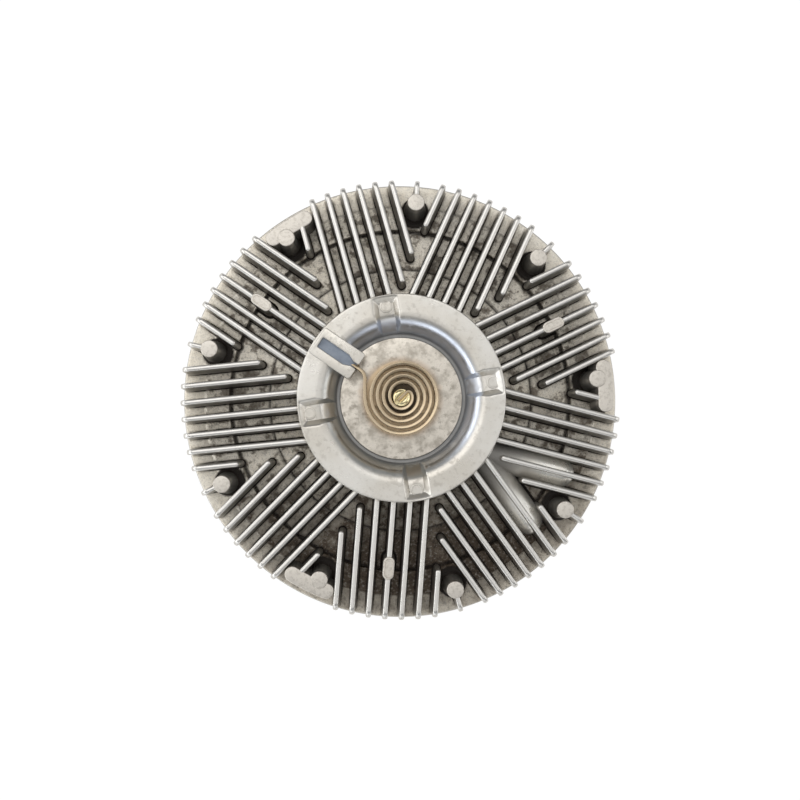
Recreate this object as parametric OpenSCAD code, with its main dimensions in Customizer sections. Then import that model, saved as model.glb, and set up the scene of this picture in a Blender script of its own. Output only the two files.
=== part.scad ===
// Viscous fan clutch for an engine cooling fan.
// It stands on the rear face of its drive nut; +Z runs along the shaft to the finned front cover.

/* [Body] */
// Diameter over the rim of the two housings
body_d = 216; // [210:1:232]
// Width of the rim outside the working chamber
rim_w = 24; // [23:0.5:27]
// Depth of the working chamber in the rear housing
chamber_depth = 13; // [12:0.5:16]
// Thickness of each housing's rim flange
flange_t = 6; // [5:0.5:8]
// Chamfer on the outer edges of the rim
rim_chamfer = 0.8; // [0.4:0.1:1.5]

/* [Front cover floor] */
// Wall between the working chamber and the lowest floor of the cover
cover_wall = 4; // [3.5:0.25:5]
// Width of the flat rim flange outside the raised floor band
rim_flat_w = 11; // [10:0.5:13]
// Width of the raised floor band
band_w = 12; // [10:0.5:14]
// Width of the sunk floor inside the raised band
sunk_w = 19; // [15:0.5:23]
// Height of the raised floor band above the rim flange
band_h = 1.2; // [0.6:0.1:2]
// Depth of the sunk floor below the rim flange
floor_dip = 0.6; // [0.2:0.1:1]
// Height of the inner floor above the rim flange
inner_floor_h = 0.4; // [0:0.1:1]
// Width of the groove at the foot of the raised floor band
floor_groove_w = 1.2; // [0.8:0.1:2]
// Depth of this groove below the sunk floor
floor_groove_depth = 0.5; // [0.2:0.1:0.8]

/* [Front fins] */
// Number of fin sectors and of screw bosses between them
sectors = 9; // [9]
// Angle of the first screw boss
boss_angle = 5.7; // [0:0.1:20]
// Number of parallel fins in a sector
fins = 7; // [7]
// Distance between neighbouring fins
fin_pitch = 7.95; // [7.5:0.05:8.2]
// Fin thickness at its rounded top
fin_w = 2.6; // [2:0.1:3.2]
// Extra fin thickness at its foot
fin_draft = 0.9; // [0.4:0.1:1.4]
// Fin height above the rim flange
fin_h = 19; // [16:0.5:21]
// Distance of the fin tips inside the rim
tip_inset = 1; // [0.5:0.1:2]
// Rounding of the fin tips
tip_round = 4; // [2:0.5:6]
// Distance from the rim to the inner end of the first, short fin
short_fin_reach = 24.4; // [22:0.2:28]
// Gap between the ring and the inner end of the last fin
last_fin_gap = 19.7; // [16:0.1:23]
// Gap between the ring and the inner end of the last fin but one
sixth_fin_gap = 5.7; // [4:0.1:8]

/* [Bosses and lands] */
// Radial distance of the cover screws outside the chamber wall
screw_offset = 11.2; // [10.8:0.1:12]
// Diameter of a screw boss at its top
boss_top_d = 8.2; // [7.6:0.1:9]
// Diameter of a screw boss at its foot
boss_foot_d = 10.4; // [9.6:0.1:11]
// Height of the screw bosses above the rim flange
boss_h = 19.6; // [18:0.2:22]
// Thickness of the rib from a boss to the rim
boss_rib_w = 2.2; // [1.6:0.1:3]
// Radial width of the three rim lands
land_width = 7.4; // [6:0.2:9]
// Drop of a rim land below the boss top
land_drop = 0.7; // [0.3:0.1:1.5]
// Angle that a rim land runs on past its boss, towards the short fin
land_lead = 10.5; // [9:0.5:12]
// Angle that a rim land runs on past its boss, the other way
land_trail = 4; // [3:0.5:5]
// Length of the oval pads on the middle fins
pad_l = 11; // [9:0.5:13]
// Width of the oval pads on the middle fins
pad_w = 5.4; // [4.6:0.2:6.4]
// Distance from the rim to the middle of the oval pads
pad_inset = 26.4; // [23:0.2:30]
// Height of the oval pads above the fins
pad_rise = 0.5; // [0.2:0.1:1]

/* [Return ridges] */
// Width of a return ridge
ridge_w = 15; // [13:0.5:16]
// Height of a return ridge above the rim flange
ridge_h = 14.5; // [12:0.5:15]
// Distance from the rim to the rounded outer end of a return ridge
ridge_inset = 15; // [13:0.5:18]
// Diameter of the return passage inside a ridge
return_d = 4; // [3:0.25:5]

/* [Reservoir ring] */
// Outer diameter of the reservoir ring at its top
ring_d = 99.6; // [98:0.2:102]
// Height of the ring's top above the rim flange
ring_h = 24; // [22:0.5:26]
// Draft of the ring's outer wall from its top to the floor
ring_draft = 0.8; // [0.4:0.1:1.2]
// Wall of the reservoir under the ring
ring_wall = 4; // [3.5:0.1:4.5]
// Roof over the reservoir under the ring
ring_roof = 5.5; // [5:0.25:7]
// Depth of the coil recess below the ring's top
recess_depth = 10.5; // [9.5:0.5:12]
// Diameter of the recess floor
recess_d = 59.2; // [57:0.2:60]
// Width of the gutter round the recess floor
gutter_w = 1.8; // [1.2:0.1:2.4]
// Depth of the gutter round the recess floor
gutter_depth = 0.8; // [0.4:0.1:1.2]
// Rounding of the ring's inner edge
ring_round = 7.6; // [6.6:0.2:8]
// Radial distance from the gutter to the middle of this rounding
lip_run = 9.8; // [9.4:0.1:10.6]
// Width of the four notches in the ring's top
notch_w = 10.5; // [9:0.5:12]
// Depth of the notches
notch_depth = 2.6; // [2:0.1:3.2]
// Wall left between a notch and the ring's outer face
notch_lip = 1.8; // [1.2:0.1:2.5]
// Angle of the first notch
notch_angle = 9.7; // [0:0.1:15]
// Diameter of the round mark in each notch
mark_d = 6.2; // [5:0.2:7]
// Height of the round marks
mark_h = 0.4; // [0.2:0.1:0.8]

/* [Coil anchor] */
// Width of the anchor block
block_w = 14.4; // [13:0.2:16]
// Radius at the inner end of the anchor block
block_end_r = 25.4; // [24.5:0.2:27]
// Height of the anchor block above the ring's top
block_rise = 0.8; // [0.4:0.1:1.6]
// Corner rounding of the anchor block
block_round = 1.4; // [0.8:0.1:2]
// Width of the anchor slot
slot_w = 5.3; // [4.6:0.1:6]
// Width of the slot's neck
neck_w = 2.4; // [2.2:0.1:3]
// Radius at the outer end of the slot
slot_end_r = 46.8; // [44:0.2:47.4]
// Radius where the slot starts to narrow
slot_shoulder_r = 31.9; // [31:0.1:34]
// Radius where the slot's neck starts
neck_r = 28.4; // [27.5:0.1:29.5]
// Depth of the bond's surface below the block's top
bond_drop = 2.2; // [1.6:0.1:3]

/* [Bimetal coil] */
// Strip thickness of the coil
strip_t = 1.5; // [1.2:0.05:1.6]
// Strip width of the coil, along the shaft
strip_w = 7.5; // [6.5:0.25:8]
// Distance between neighbouring turns
turn_pitch = 2.95; // [2.85:0.05:3]
// Distance of the spiral's middle from the shaft, towards the coil's inner end
coil_offset = 0.65; // [0.5:0.05:0.8]
// Radius at the inner end of the spiral
coil_start_r = 5.1; // [5.05:0.05:5.3]
// Number of half turns before the coil's last eighth
half_turns = 9; // [9]
// Bend radius of the coil's outer end
tail_bend_r = 4; // [3:0.25:5]
// Length of the coil's outer end inside the anchor slot
tail_grip = 7; // [5:0.5:9]
// Height of the coil above the recess floor
coil_lift = 1.7; // [1.2:0.1:2.4]

/* [Valve] */
// Diameter of the valve shaft
valve_d = 8; // [7.6:0.1:8.2]
// Outer diameter of the boss that the valve shaft turns in
valve_boss_d = 18; // [16:0.5:20]
// Thickness of the valve plate
plate_t = 1.4; // [1:0.1:1.8]
// Seat width of the valve plate outside the reservoir
plate_seat = 6; // [5:0.25:7]
// Diameter of the fill holes in the valve plate
fill_d = 7; // [5:0.5:8]
// Radius of the fill holes from the axis
fill_r = 36; // [33:0.5:38]
// Thickness of the valve arm
arm_t = 1.5; // [1.2:0.1:2]
// Width of the valve arm's ends
arm_w = 12; // [11:0.5:14]
// Number of rivets that hold the valve plate
rivets = 4; // [3:1:6]
// Shank diameter of a plate rivet
rivet_d = 3; // [2.4:0.1:3.4]

/* [Rotor and drive] */
// Thickness of the rotor disc
rotor_t = 6.3; // [5.5:0.1:7]
// Pitch of the annular lands of the rotor
groove_pitch = 4.4; // [4.2:0.1:5]
// Width of an annular land
groove_land = 1.7; // [1.4:0.05:1.8]
// Outer diameter of the rotor's hub
rotor_hub_d = 40; // [36:1:44]
// Diameter of the shaft in the rotor
rotor_seat_d = 26; // [24:0.5:28]
// Width of the drive nut across flats
nut_af = 41; // [40:0.5:46]
// Length of the drive nut
nut_l = 24; // [20:1:30]
// Core diameter of the drive thread
thread_core_d = 30.4; // [28:0.2:32]
// Depth of the drive thread
thread_depth = 21; // [16:1:22]
// Diameter of the shaft between the nut and the bearing
neck_d = 34; // [33.4:0.2:36]
// Length of the shoulder that the bearing stands on
shoulder_l = 2; // [1.5:0.25:3]

/* [Bearing] */
// Bore of the bearing
bearing_bore = 30; // [29:0.5:31]
// Outer diameter of the bearing
bearing_od = 62; // [60:0.5:66]
// Width of the bearing
bearing_w = 16; // [15.5:0.25:18]
// Number of balls
balls = 9; // [7:1:9]
// Diameter of a ball
ball_d = 9.5; // [9:0.1:10]
// Thickness of a bearing seal
seal_t = 0.8; // [0.6:0.1:1]

/* [Rear housing] */
// Gap between the nut and the bearing hub
nut_gap = 2; // [1:0.5:4]
// Length of the hub behind the bearing
hub_lip = 7; // [5:0.5:9]
// Bore of the hub behind the bearing
lip_d = 52; // [48:1:54]
// Outer diameter of the hub, which centres the fan
pilot_d = 80; // [76:1:86]
// Depth of the bearing below the chamber floor
bearing_inset = 4; // [3:0.5:5]
// Rear wall of the chamber
rear_wall = 5; // [4:0.5:6]
// Wall round the chamber
bowl_wall = 4; // [3:0.25:4.5]
// Number of rear fins
rear_fins = 36; // [24:6:48]
// Height of the rear fins
rear_fin_h = 10; // [6:0.5:11]
// Thickness of the rear fins
rear_fin_w = 2.6; // [2:0.1:3.2]
// Number of fan bolts
fan_bolts = 6; // [4:1:8]
// Distance of the fan bolts inside the chamber wall
fan_bolt_inset = 9; // [7:0.5:12]
// Tapping drill diameter of the fan bolts
fan_bolt_d = 6.8; // [5:0.1:8.5]
// Depth of the fan bolt holes
fan_bolt_depth = 15; // [10:0.5:16]
// Diameter of the fan bosses
fan_boss_d = 18; // [16:0.5:20]
// Length of the fan bosses behind the rear wall
fan_boss_l = 14; // [12:0.5:17]

/* [Fasteners and seals] */
// Thread diameter of the cover screws
screw_d = 5; // [4.5:0.1:5.4]
// Width across flats of the cover screw heads
screw_af = 8; // [7:0.1:8.4]
// Head height of the cover screws
screw_head_h = 4.5; // [3.5:0.25:5.5]
// Flange diameter of the cover screw heads
screw_flange_d = 10; // [9:0.2:10.6]
// Section diameter of the cover seal
seal_section_d = 2.2; // [1.8:0.1:2.4]

/* [Clearances] */
// Running clearance of the valve shaft in its bore
shaft_fit = 0.03; // [0.02:0.01:0.08]
// Seat clearance between pressed pieces of one body
seat_fit = 0.01; // [0.01:0.01:0.05]
// Thread clearance of the cover screws in the bosses
thread_fit = 0.05; // [0.02:0.01:0.2]
// Clearance hole allowance of the cover screws in the rear housing
screw_clear = 0.25; // [0.1:0.05:0.5]
// Ball clearance in its grooves and pockets
ball_fit = 0.12; // [0.08:0.01:0.2]
// Gap between pieces that turn past each other
turn_gap = 0.4; // [0.3:0.05:0.8]
// Axial gap at the ends of the annular lands
groove_gap = 0.7; // [0.5:0.1:1]
// Gap behind the rotor disc
rotor_gap = 1; // [0.6:0.1:1.5]
// Gap between the rotor's rim and the chamber wall
rotor_edge_gap = 1.5; // [1:0.1:2.5]
// Side clearance of the coil's ends in their slots
strip_fit = 0.2; // [0.1:0.05:0.3]
// Radial clearance of the cover seal in its groove
seal_fit = 0.1; // [0.05:0.01:0.2]

/* [Hidden] */
$fn = 64;
// Overlap that makes neighbouring shapes of one piece merge
bite = 1;
// Small step that keeps a rounding from running tangent into a flat
blend = 0.02;

body_r = body_d / 2;
chamber_r = body_r - rim_w;
ring_r = ring_d / 2;
recess_r = recess_d / 2;
reservoir_r = ring_r - ring_wall;
pilot_r = pilot_d / 2;
bowl_r = chamber_r + bowl_wall;
screw_r = chamber_r + screw_offset;
sector_step = 360 / sectors;
anchor_angle = boss_angle + 3.5 * sector_step;
tip_r = body_r - tip_inset;
band_outer_r = body_r - rim_flat_w;
band_inner_r = band_outer_r - band_w;
inner_floor_r = band_inner_r - sunk_w;
pad_r = body_r - pad_inset;
ridge_end_r = body_r - ridge_inset;
fan_bolt_r = chamber_r - fan_bolt_inset;

// Heights along the shaft, from the rear face of the nut to the front
hub_z = nut_l + nut_gap;
bearing_z = hub_z + hub_lip;
bearing_top_z = bearing_z + bearing_w;
chamber_z = bearing_top_z + bearing_inset;
rear_wall_z = chamber_z - rear_wall;
parting_z = chamber_z + chamber_depth;
flange_z = parting_z + flange_t;
sunk_z = flange_z - floor_dip;
chamber_top_z = sunk_z - cover_wall;
fin_z = flange_z + fin_h;
boss_z = flange_z + boss_h;
ring_z = flange_z + ring_h;
recess_z = ring_z - recess_depth;
gutter_z = recess_z - gutter_depth;
reservoir_z = gutter_z - cover_wall;
ring_roof_z = ring_z - ring_roof;
floor_groove_z = sunk_z - floor_groove_depth;
block_z = ring_z + block_rise;
bond_z = block_z - bond_drop;
coil_z = recess_z + coil_lift;
coil_top_z = coil_z + strip_w;
slot_z = coil_z - strip_fit;
fan_face_z = rear_wall_z - fan_boss_l;
rotor_z = chamber_z + rotor_gap;
rotor_top_z = rotor_z + rotor_t;

// Rounded inner edge of the ring, and the slope of the wall that runs up to touch it
lip_r = recess_r + gutter_w + lip_run;
lip_z = ring_z - ring_round;
wall_slope = atan2(lip_z - gutter_z, lip_run) + asin(ring_round / norm([lip_run, lip_z - gutter_z]));

// Valve train, built up from the valve plate
arm_z = chamber_top_z + turn_gap;
arm_top_z = arm_z + arm_t;
collar_h = 1.7;
collar_r = valve_d / 2 + 2.5;
valve_boss_z = arm_top_z + collar_h + turn_gap;
spigot_r = valve_d / 2 - 1;
head_rise = 0.3;
valve_top_z = coil_top_z + head_rise;
plate_r = reservoir_r + plate_seat;

// Rivets of the valve plate, into the cover outside the reservoir
rivet_r = reservoir_r + plate_seat / 2;
rivet_depth = cover_wall - 1;
rivet_head_h = 1.2;
rivet_head_r = rivet_d / 2 + 1;

// Seals: the cover's in a groove of the rear housing, the shaft's in a groove of the shaft
seal_groove_depth = seal_section_d + 2 * seal_fit;
seal_groove_r = chamber_r + bowl_wall + 0.4;
oring_d = 1;
oring_slack = 0.06;
oring_w = 1.4;
oring_depth = oring_d + 2 * oring_slack;
oring_z = (valve_boss_z + recess_z) / 2;

// Direction of the fill holes and, at rest, of the valve arm
fill_angle = anchor_angle + 70;
// Wiper at the chamber wall
wiper_h = 6;
wiper_l = 14;
// Distance of the rear fins from the pilot and chamfer of the bowl's rear edge
rear_fin_gap = 4;
bowl_corner = 5;
// Lead-in of the drive thread and lip of the riveted shaft end
thread_lead = 1;
swage = 0.75;

// Annular lands, the cover's between the rotor's
rotor_r = chamber_r - rotor_edge_gap;
first_land_r = plate_r + groove_land / 2 + 2;
cover_lands = floor((rotor_r - groove_pitch - first_land_r) / groove_pitch) + 1;

// Spiral of half circles whose centres alternate on the line of the valve slot
slot_angle = 45;
exit_angle = 45;
exit_r = half_turn_r(half_turns);
exit_x = half_turn_middle(half_turns) * cos(slot_angle) - exit_r;
exit_y = half_turn_middle(half_turns) * sin(slot_angle);

// Tail of the coil: straight on, a bend to the anchor's direction, then straight into its slot
tail_turn = anchor_angle - 90;
bend_end_x = exit_x - tail_bend_r * (1 - cos(tail_turn));
bend_end_y = bend_end_x * tan(anchor_angle);
bend_y = bend_end_y - tail_bend_r * sin(tail_turn);

// Bearing rows
ball_pitch_r = (bearing_bore + bearing_od) / 4;
groove_r = ball_d / 2 + ball_fit;
race_gap = ball_d * 0.37;
inner_race_r = ball_pitch_r - race_gap;
outer_race_r = ball_pitch_r + race_gap;
ball_z = bearing_z + bearing_w / 2;
seal_inset = 0.5;

// Angle at the middle of a fin sector, which starts at its screw boss
function sector_mid(i) = boss_angle + (i + 0.5) * sector_step;
// Angle of a screw boss
function boss_at(i) = boss_angle + i * sector_step;
// Every third boss carries a rim land
function has_land(i) = i % 3 == 0;
// Sideways place of a fin in its sector
function fin_side(k) = ((fins - 1) / 2 - k) * fin_pitch;
// Radius at the inner end of a fin: short, into the ring, or stopped before it
function fin_start_r(k) =
    k == 0 ? body_r - short_fin_reach :
    k == fins - 1 ? ring_r + last_fin_gap :
    k == fins - 2 ? ring_r + sixth_fin_gap : ring_r - bite;
// Distance along a fin at which it reaches a radius
function along(r, side) = sqrt(r * r - side * side);
// Radius of one half turn of the coil
function half_turn_r(n) = coil_start_r - coil_offset + (n + 0.5) * turn_pitch / 2;
// Place of its centre on the line of the valve slot
function half_turn_middle(n) = coil_offset + (n % 2 == 0 ? -1 : 1) * turn_pitch / 4;
// Angle of a plate rivet, clear of the return passages
function rivet_angle(i) = anchor_angle + 20 + i * 360 / rivets;
// Place of the return ridges: the sector on each side of one boss, and the fin on each crest
ridge_boss = sectors - 1;
ridge_places = [[ridge_boss, fins - 2], [ridge_boss - 1, 1]];

// Upright wall with a rounded top, drawn across its length
module fin_profile(w, foot, h) {
    polygon([[-foot / 2, 0], [foot / 2, 0], [w / 2, h - w / 2], [-w / 2, h - w / 2]]);
    translate([0, h - w / 2]) circle(d = w + blend);
}

// A profile drawn across X with its height along Z, carried along X from one place to another
module run_out(from, to, z) {
    translate([from, 0, z]) rotate([90, 0, 90]) linear_extrude(to - from) children();
}

// One front fin before its tip is rounded
module fin(k, end_r) {
    side = fin_side(k);
    translate([0, side, 0])
        run_out(along(fin_start_r(k), side), along(end_r, side), sunk_z - bite)
            fin_profile(fin_w, fin_w + fin_draft, fin_z - sunk_z + bite);
}

// Turned envelope that rounds the outer ends of the fins
module tip_envelope() {
    rotate_extrude() {
        translate([0, parting_z]) square([tip_r, fin_z - tip_round - parting_z]);
        translate([0, parting_z]) square([tip_r - tip_round, fin_z + blend - parting_z]);
        translate([tip_r - tip_round - blend, fin_z - tip_round]) circle(tip_round);
    }
}

// All front fins; where a rim land stands, the short fin ends in it
module front_fins() {
    intersection() {
        union() {
            for (i = [0 : sectors - 1]) rotate(sector_mid(i))
                for (k = [0 : fins - 1])
                    fin(k, k == 0 && has_land(i + 1) ? screw_r + land_width / 2 : body_r);
        }
        tip_envelope();
    }
}

// Outline of the cover's turned body: rim flange, stepped floor, ring and coil recess
module cover_section() {
    difference() {
        union() {
            polygon([
                [0, parting_z], [body_r, parting_z], [body_r, flange_z - rim_chamfer],
                [body_r - rim_chamfer, flange_z], [band_outer_r, flange_z],
                [band_outer_r, flange_z + band_h], [band_inner_r, flange_z + band_h],
                [band_inner_r, floor_groove_z], [band_inner_r - floor_groove_w, floor_groove_z],
                [band_inner_r - floor_groove_w, sunk_z], [inner_floor_r, sunk_z],
                [inner_floor_r, flange_z + inner_floor_h], [ring_r + ring_draft, flange_z + inner_floor_h],
                [ring_r, ring_z], [lip_r, ring_z], [lip_r, lip_z],
                [lip_r - ring_round * sin(wall_slope), lip_z + ring_round * cos(wall_slope)],
                [recess_r + gutter_w, gutter_z], [recess_r, gutter_z], [recess_r, recess_z], [0, recess_z]
            ]);
            translate([lip_r, lip_z]) circle(ring_round - blend);
        }
        cover_hollow();
    }
}

// Outline of the hollow in the cover: working chamber, reservoir and the space under the ring
module cover_hollow() {
    translate([0, parting_z - bite]) square([chamber_r, chamber_top_z - parting_z + bite]);
    translate([valve_boss_d / 2, chamber_top_z - bite])
        square([reservoir_r - valve_boss_d / 2, reservoir_z - chamber_top_z + bite]);
    translate([lip_r, reservoir_z - bite])
        square([reservoir_r - lip_r, ring_roof_z - reservoir_z + bite]);
    translate([-bite, chamber_top_z - bite])
        square([valve_boss_d / 2 + 2 * bite, valve_boss_z - chamber_top_z + bite]);
}

// Annular lands under the cover, from the chamber's front face to just off the rotor disc
module cover_groove_lands() {
    rotate_extrude() for (i = [0 : cover_lands - 1])
        translate([first_land_r + i * groove_pitch - groove_land / 2, rotor_top_z + groove_gap])
            square([groove_land, chamber_top_z + bite - rotor_top_z - groove_gap]);
}

// Tapered boss for one cover screw, with its rib to the rim where no land stands
module screw_boss(i) {
    translate([screw_r, 0, sunk_z])
        cylinder(d1 = boss_foot_d, d2 = boss_top_d, h = boss_z - sunk_z);
    if (!has_land(i))
        intersection() {
            run_out(screw_r, body_r, sunk_z)
                fin_profile(boss_rib_w, boss_rib_w + fin_draft, fin_z - sunk_z);
            tip_envelope();
        }
}

// Flat land along the rim, past one boss on both sides, with rounded ends
module rim_land() {
    r0 = screw_r;
    r1 = screw_r + land_width;
    mid = (r0 + r1) / 2;
    far = 2 * r1;
    translate([0, 0, sunk_z]) linear_extrude(boss_z - land_drop - sunk_z) {
        intersection() {
            difference() {
                circle(r1, $fn = 180);
                circle(r0, $fn = 180);
            }
            polygon([[0, 0], far * [cos(land_lead), -sin(land_lead)], [far, 0],
                     far * [cos(land_trail), sin(land_trail)]]);
        }
        for (a = [-land_lead, land_trail]) rotate(a) translate([mid, 0]) circle(land_width / 2 + blend);
    }
}

// Oval pad on the middle fin of a sector
module fin_pad() {
    translate([pad_r, 0, sunk_z]) linear_extrude(fin_z + pad_rise - sunk_z) {
        square([pad_l - pad_w, pad_w], center = true);
        for (s = [-1, 1]) translate([s * (pad_l - pad_w) / 2, 0]) circle(d = pad_w + blend);
    }
}

// Rounded ridge over a return passage, with a round outer end
module return_ridge(k) {
    side = fin_side(k);
    end = along(ridge_end_r, side) - ridge_w / 2;
    intersection() {
        translate([0, side, 0])
            run_out(along(ring_r - bite, side), end + ridge_w, sunk_z - bite)
                fin_profile(ridge_w, ridge_w + fin_draft, flange_z + ridge_h - sunk_z + bite);
        translate([0, side, sunk_z - bite]) linear_extrude(fin_h + 2 * bite) {
            translate([0, -ridge_w]) square([end, 2 * ridge_w]);
            translate([end, 0]) circle(d = ridge_w + blend);
        }
    }
}

// Drilled passage from the chamber's edge to the reservoir, inside a ridge
module return_passage(k) {
    side = fin_side(k);
    rise_x = along(chamber_r - return_d, side);
    passage_z = flange_z + return_d;
    translate([0, side, 0]) {
        translate([along(reservoir_r, side) - return_d, 0, passage_z]) rotate([0, 90, 0])
            cylinder(d = return_d, h = rise_x - along(reservoir_r, side) + return_d);
        translate([rise_x, 0, chamber_top_z - bite])
            cylinder(d = return_d, h = passage_z - chamber_top_z + bite + return_d / 2);
    }
}

// Trapezoid notch in the ring's top, open to the coil recess
module ring_notch() {
    run_out(recess_r + gutter_w, ring_r - notch_lip, ring_z - notch_depth)
        polygon([[-notch_w / 2 + notch_depth / 2, 0], [notch_w / 2 - notch_depth / 2, 0],
                 [notch_w / 2 + bite, notch_depth + bite], [-notch_w / 2 - bite, notch_depth + bite]]);
}

// Round mark on the floor of a notch
module notch_mark() {
    mark_r = ring_r - notch_lip - mark_d / 2 - mark_h;
    translate([mark_r, 0, ring_z - notch_depth - bite]) cylinder(d = mark_d, h = mark_h + bite);
}

// Anchor block for the coil's outer end, from the recess floor over the ring
module anchor_block() {
    outer_r = ring_r - block_round;
    inset = block_w / 2 - block_round;
    translate([0, 0, gutter_z - bite]) linear_extrude(block_z - gutter_z + bite) {
        translate([block_end_r + block_round, -block_w / 2])
            square([outer_r - block_end_r - block_round, block_w]);
        translate([block_end_r, -inset]) square([outer_r - block_end_r, 2 * inset]);
        for (s = [-1, 1]) translate([block_end_r + block_round, s * inset]) circle(block_round + blend);
    }
}

// Bottle-shaped outline of the anchor slot
module slot_outline(start_r) {
    polygon([[start_r, -neck_w / 2], [neck_r, -neck_w / 2], [slot_shoulder_r, -slot_w / 2],
             [slot_end_r, -slot_w / 2], [slot_end_r, slot_w / 2], [slot_shoulder_r, slot_w / 2],
             [neck_r, neck_w / 2], [start_r, neck_w / 2]]);
}

module front_cover() {
    color([0.80, 0.78, 0.74]) difference() {
        union() {
            rotate_extrude($fn = 180) cover_section();
            cover_groove_lands();
            front_fins();
            for (i = [0 : sectors - 1]) rotate(boss_at(i)) {
                screw_boss(i);
                if (has_land(i)) rim_land();
            }
            for (i = [0 : sectors - 1]) if (has_land(i)) rotate(sector_mid(i)) fin_pad();
            for (p = ridge_places) rotate(sector_mid(p[0])) return_ridge(p[1]);
            rotate(anchor_angle) anchor_block();
        }
        for (i = [0 : sectors - 1]) rotate(boss_at(i))
            translate([screw_r, 0, parting_z - bite])
                cylinder(r = screw_d / 2 + thread_fit, h = boss_z - parting_z - screw_d);
        for (i = [0 : 3]) rotate(notch_angle + i * 90) difference() {
            ring_notch();
            notch_mark();
        }
        for (p = ridge_places) rotate(sector_mid(p[0])) return_passage(p[1]);
        rotate(anchor_angle) translate([0, 0, slot_z])
            linear_extrude(block_z - slot_z + bite) slot_outline(block_end_r - bite);
        translate([0, 0, chamber_z]) cylinder(r = valve_d / 2 + shaft_fit, h = ring_z - chamber_z);
        for (i = [0 : rivets - 1]) rotate(rivet_angle(i)) translate([rivet_r, 0, chamber_top_z - bite])
            cylinder(r = rivet_d / 2 + seat_fit, h = rivet_depth + bite);
    }
}

// Outline of the rear housing's turned body: hub, rear wall, bowl and rim flange
module housing_section() {
    hub_bore_r = lip_d / 2;
    bore_r = bearing_od / 2 + seat_fit;
    flange_back_z = parting_z - flange_t;
    difference() {
        polygon([
            [hub_bore_r, hub_z], [pilot_r - rim_chamfer, hub_z], [pilot_r, hub_z + rim_chamfer],
            [pilot_r, rear_wall_z], [bowl_r - bowl_corner, rear_wall_z], [bowl_r, rear_wall_z + bowl_corner],
            [bowl_r, flange_back_z], [body_r - rim_chamfer, flange_back_z],
            [body_r, flange_back_z + rim_chamfer], [body_r, parting_z], [chamber_r, parting_z],
            [chamber_r, chamber_z], [bore_r, chamber_z], [bore_r, bearing_z], [hub_bore_r, bearing_z]
        ]);
        translate([seal_groove_r - seal_section_d / 2 - seal_fit, parting_z - seal_groove_depth])
            square([seal_section_d + 2 * seal_fit, seal_groove_depth + bite]);
    }
}

// One straight rear fin, from beside the pilot to the bowl's corner
module rear_fin() {
    translate([0, 0, rear_wall_z + bite]) mirror([0, 0, 1])
        run_out(pilot_r + rear_fin_gap, bowl_r - bowl_corner - rear_fin_gap / 2, 0)
            fin_profile(rear_fin_w, rear_fin_w + fin_draft, rear_fin_h + bite);
}

module rear_housing() {
    color([0.72, 0.71, 0.69]) difference() {
        union() {
            rotate_extrude($fn = 180) housing_section();
            for (i = [0 : rear_fins - 1]) rotate(i * 360 / rear_fins) rear_fin();
            for (i = [0 : fan_bolts - 1]) rotate(i * 360 / fan_bolts)
                translate([fan_bolt_r, 0, fan_face_z])
                    cylinder(d = fan_boss_d, h = rear_wall_z + rear_wall / 2 - fan_face_z);
        }
        for (i = [0 : fan_bolts - 1]) rotate(i * 360 / fan_bolts)
            translate([fan_bolt_r, 0, fan_face_z - bite])
                cylinder(d = fan_bolt_d, h = fan_bolt_depth + bite);
        for (i = [0 : sectors - 1]) rotate(boss_at(i))
            translate([screw_r, 0, parting_z - flange_t - bite])
                cylinder(r = screw_d / 2 + screw_clear, h = flange_t + 2 * bite);
    }
}

// One cover screw: hexagon head with a flange behind the rim, shank up into the boss
module cover_screw() {
    head_z = parting_z - flange_t;
    flange_h = 1.2;
    translate([0, 0, head_z - screw_head_h]) {
        cylinder(d = screw_af / cos(30), h = screw_head_h - flange_h + blend, $fn = 6);
        translate([0, 0, screw_head_h - flange_h]) cylinder(d = screw_flange_d, h = flange_h);
    }
    translate([0, 0, head_z - blend]) cylinder(d = screw_d, h = boss_z - 2 * screw_d - head_z);
}

module cover_screws() {
    color([0.62, 0.62, 0.60]) for (i = [0 : sectors - 1]) rotate(boss_at(i))
        translate([screw_r, 0, 0]) cover_screw();
}

module cover_seal() {
    color([0.08, 0.08, 0.08]) rotate_extrude()
        translate([seal_groove_r, parting_z - seal_groove_depth / 2]) circle(d = seal_section_d, $fn = 32);
}

module drive_shaft() {
    seat_r = bearing_bore / 2 - seat_fit;
    nut_corner_r = nut_af / 2 / cos(30);
    color([0.55, 0.55, 0.56]) difference() {
        union() {
            intersection() {
                cylinder(r = nut_corner_r, h = nut_l, $fn = 6);
                nut_chamfer(nut_corner_r);
            }
            translate([0, 0, nut_l - blend])
                cylinder(d = neck_d, h = bearing_z - nut_l - shoulder_l + blend);
            translate([0, 0, bearing_z - shoulder_l - blend])
                cylinder(r = inner_race_r - seal_inset, h = shoulder_l + blend);
            translate([0, 0, bearing_z - bite]) cylinder(r = seat_r, h = bearing_w + bite);
            translate([0, 0, bearing_top_z - bite])
                cylinder(r = rotor_seat_d / 2 - seat_fit, h = rotor_top_z - bearing_top_z + bite);
            translate([0, 0, rotor_top_z])
                cylinder(r1 = rotor_seat_d / 2 + swage, r2 = rotor_seat_d / 2 - swage, h = 2 * swage);
        }
        translate([0, 0, -bite]) cylinder(d = thread_core_d, h = thread_depth + bite);
        translate([0, 0, -blend])
            cylinder(d1 = thread_core_d + 2 * thread_lead, d2 = thread_core_d - blend,
                     h = thread_lead + blend);
    }
}

// Turned shape that takes the corners off both ends of the nut
module nut_chamfer(corner_r) {
    flat_r = nut_af / 2;
    rise = (corner_r - flat_r) / 2;
    rotate_extrude() polygon([
        [0, 0], [flat_r, 0], [corner_r + blend, rise], [corner_r + blend, nut_l - rise],
        [flat_r, nut_l], [0, nut_l]
    ]);
}

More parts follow.
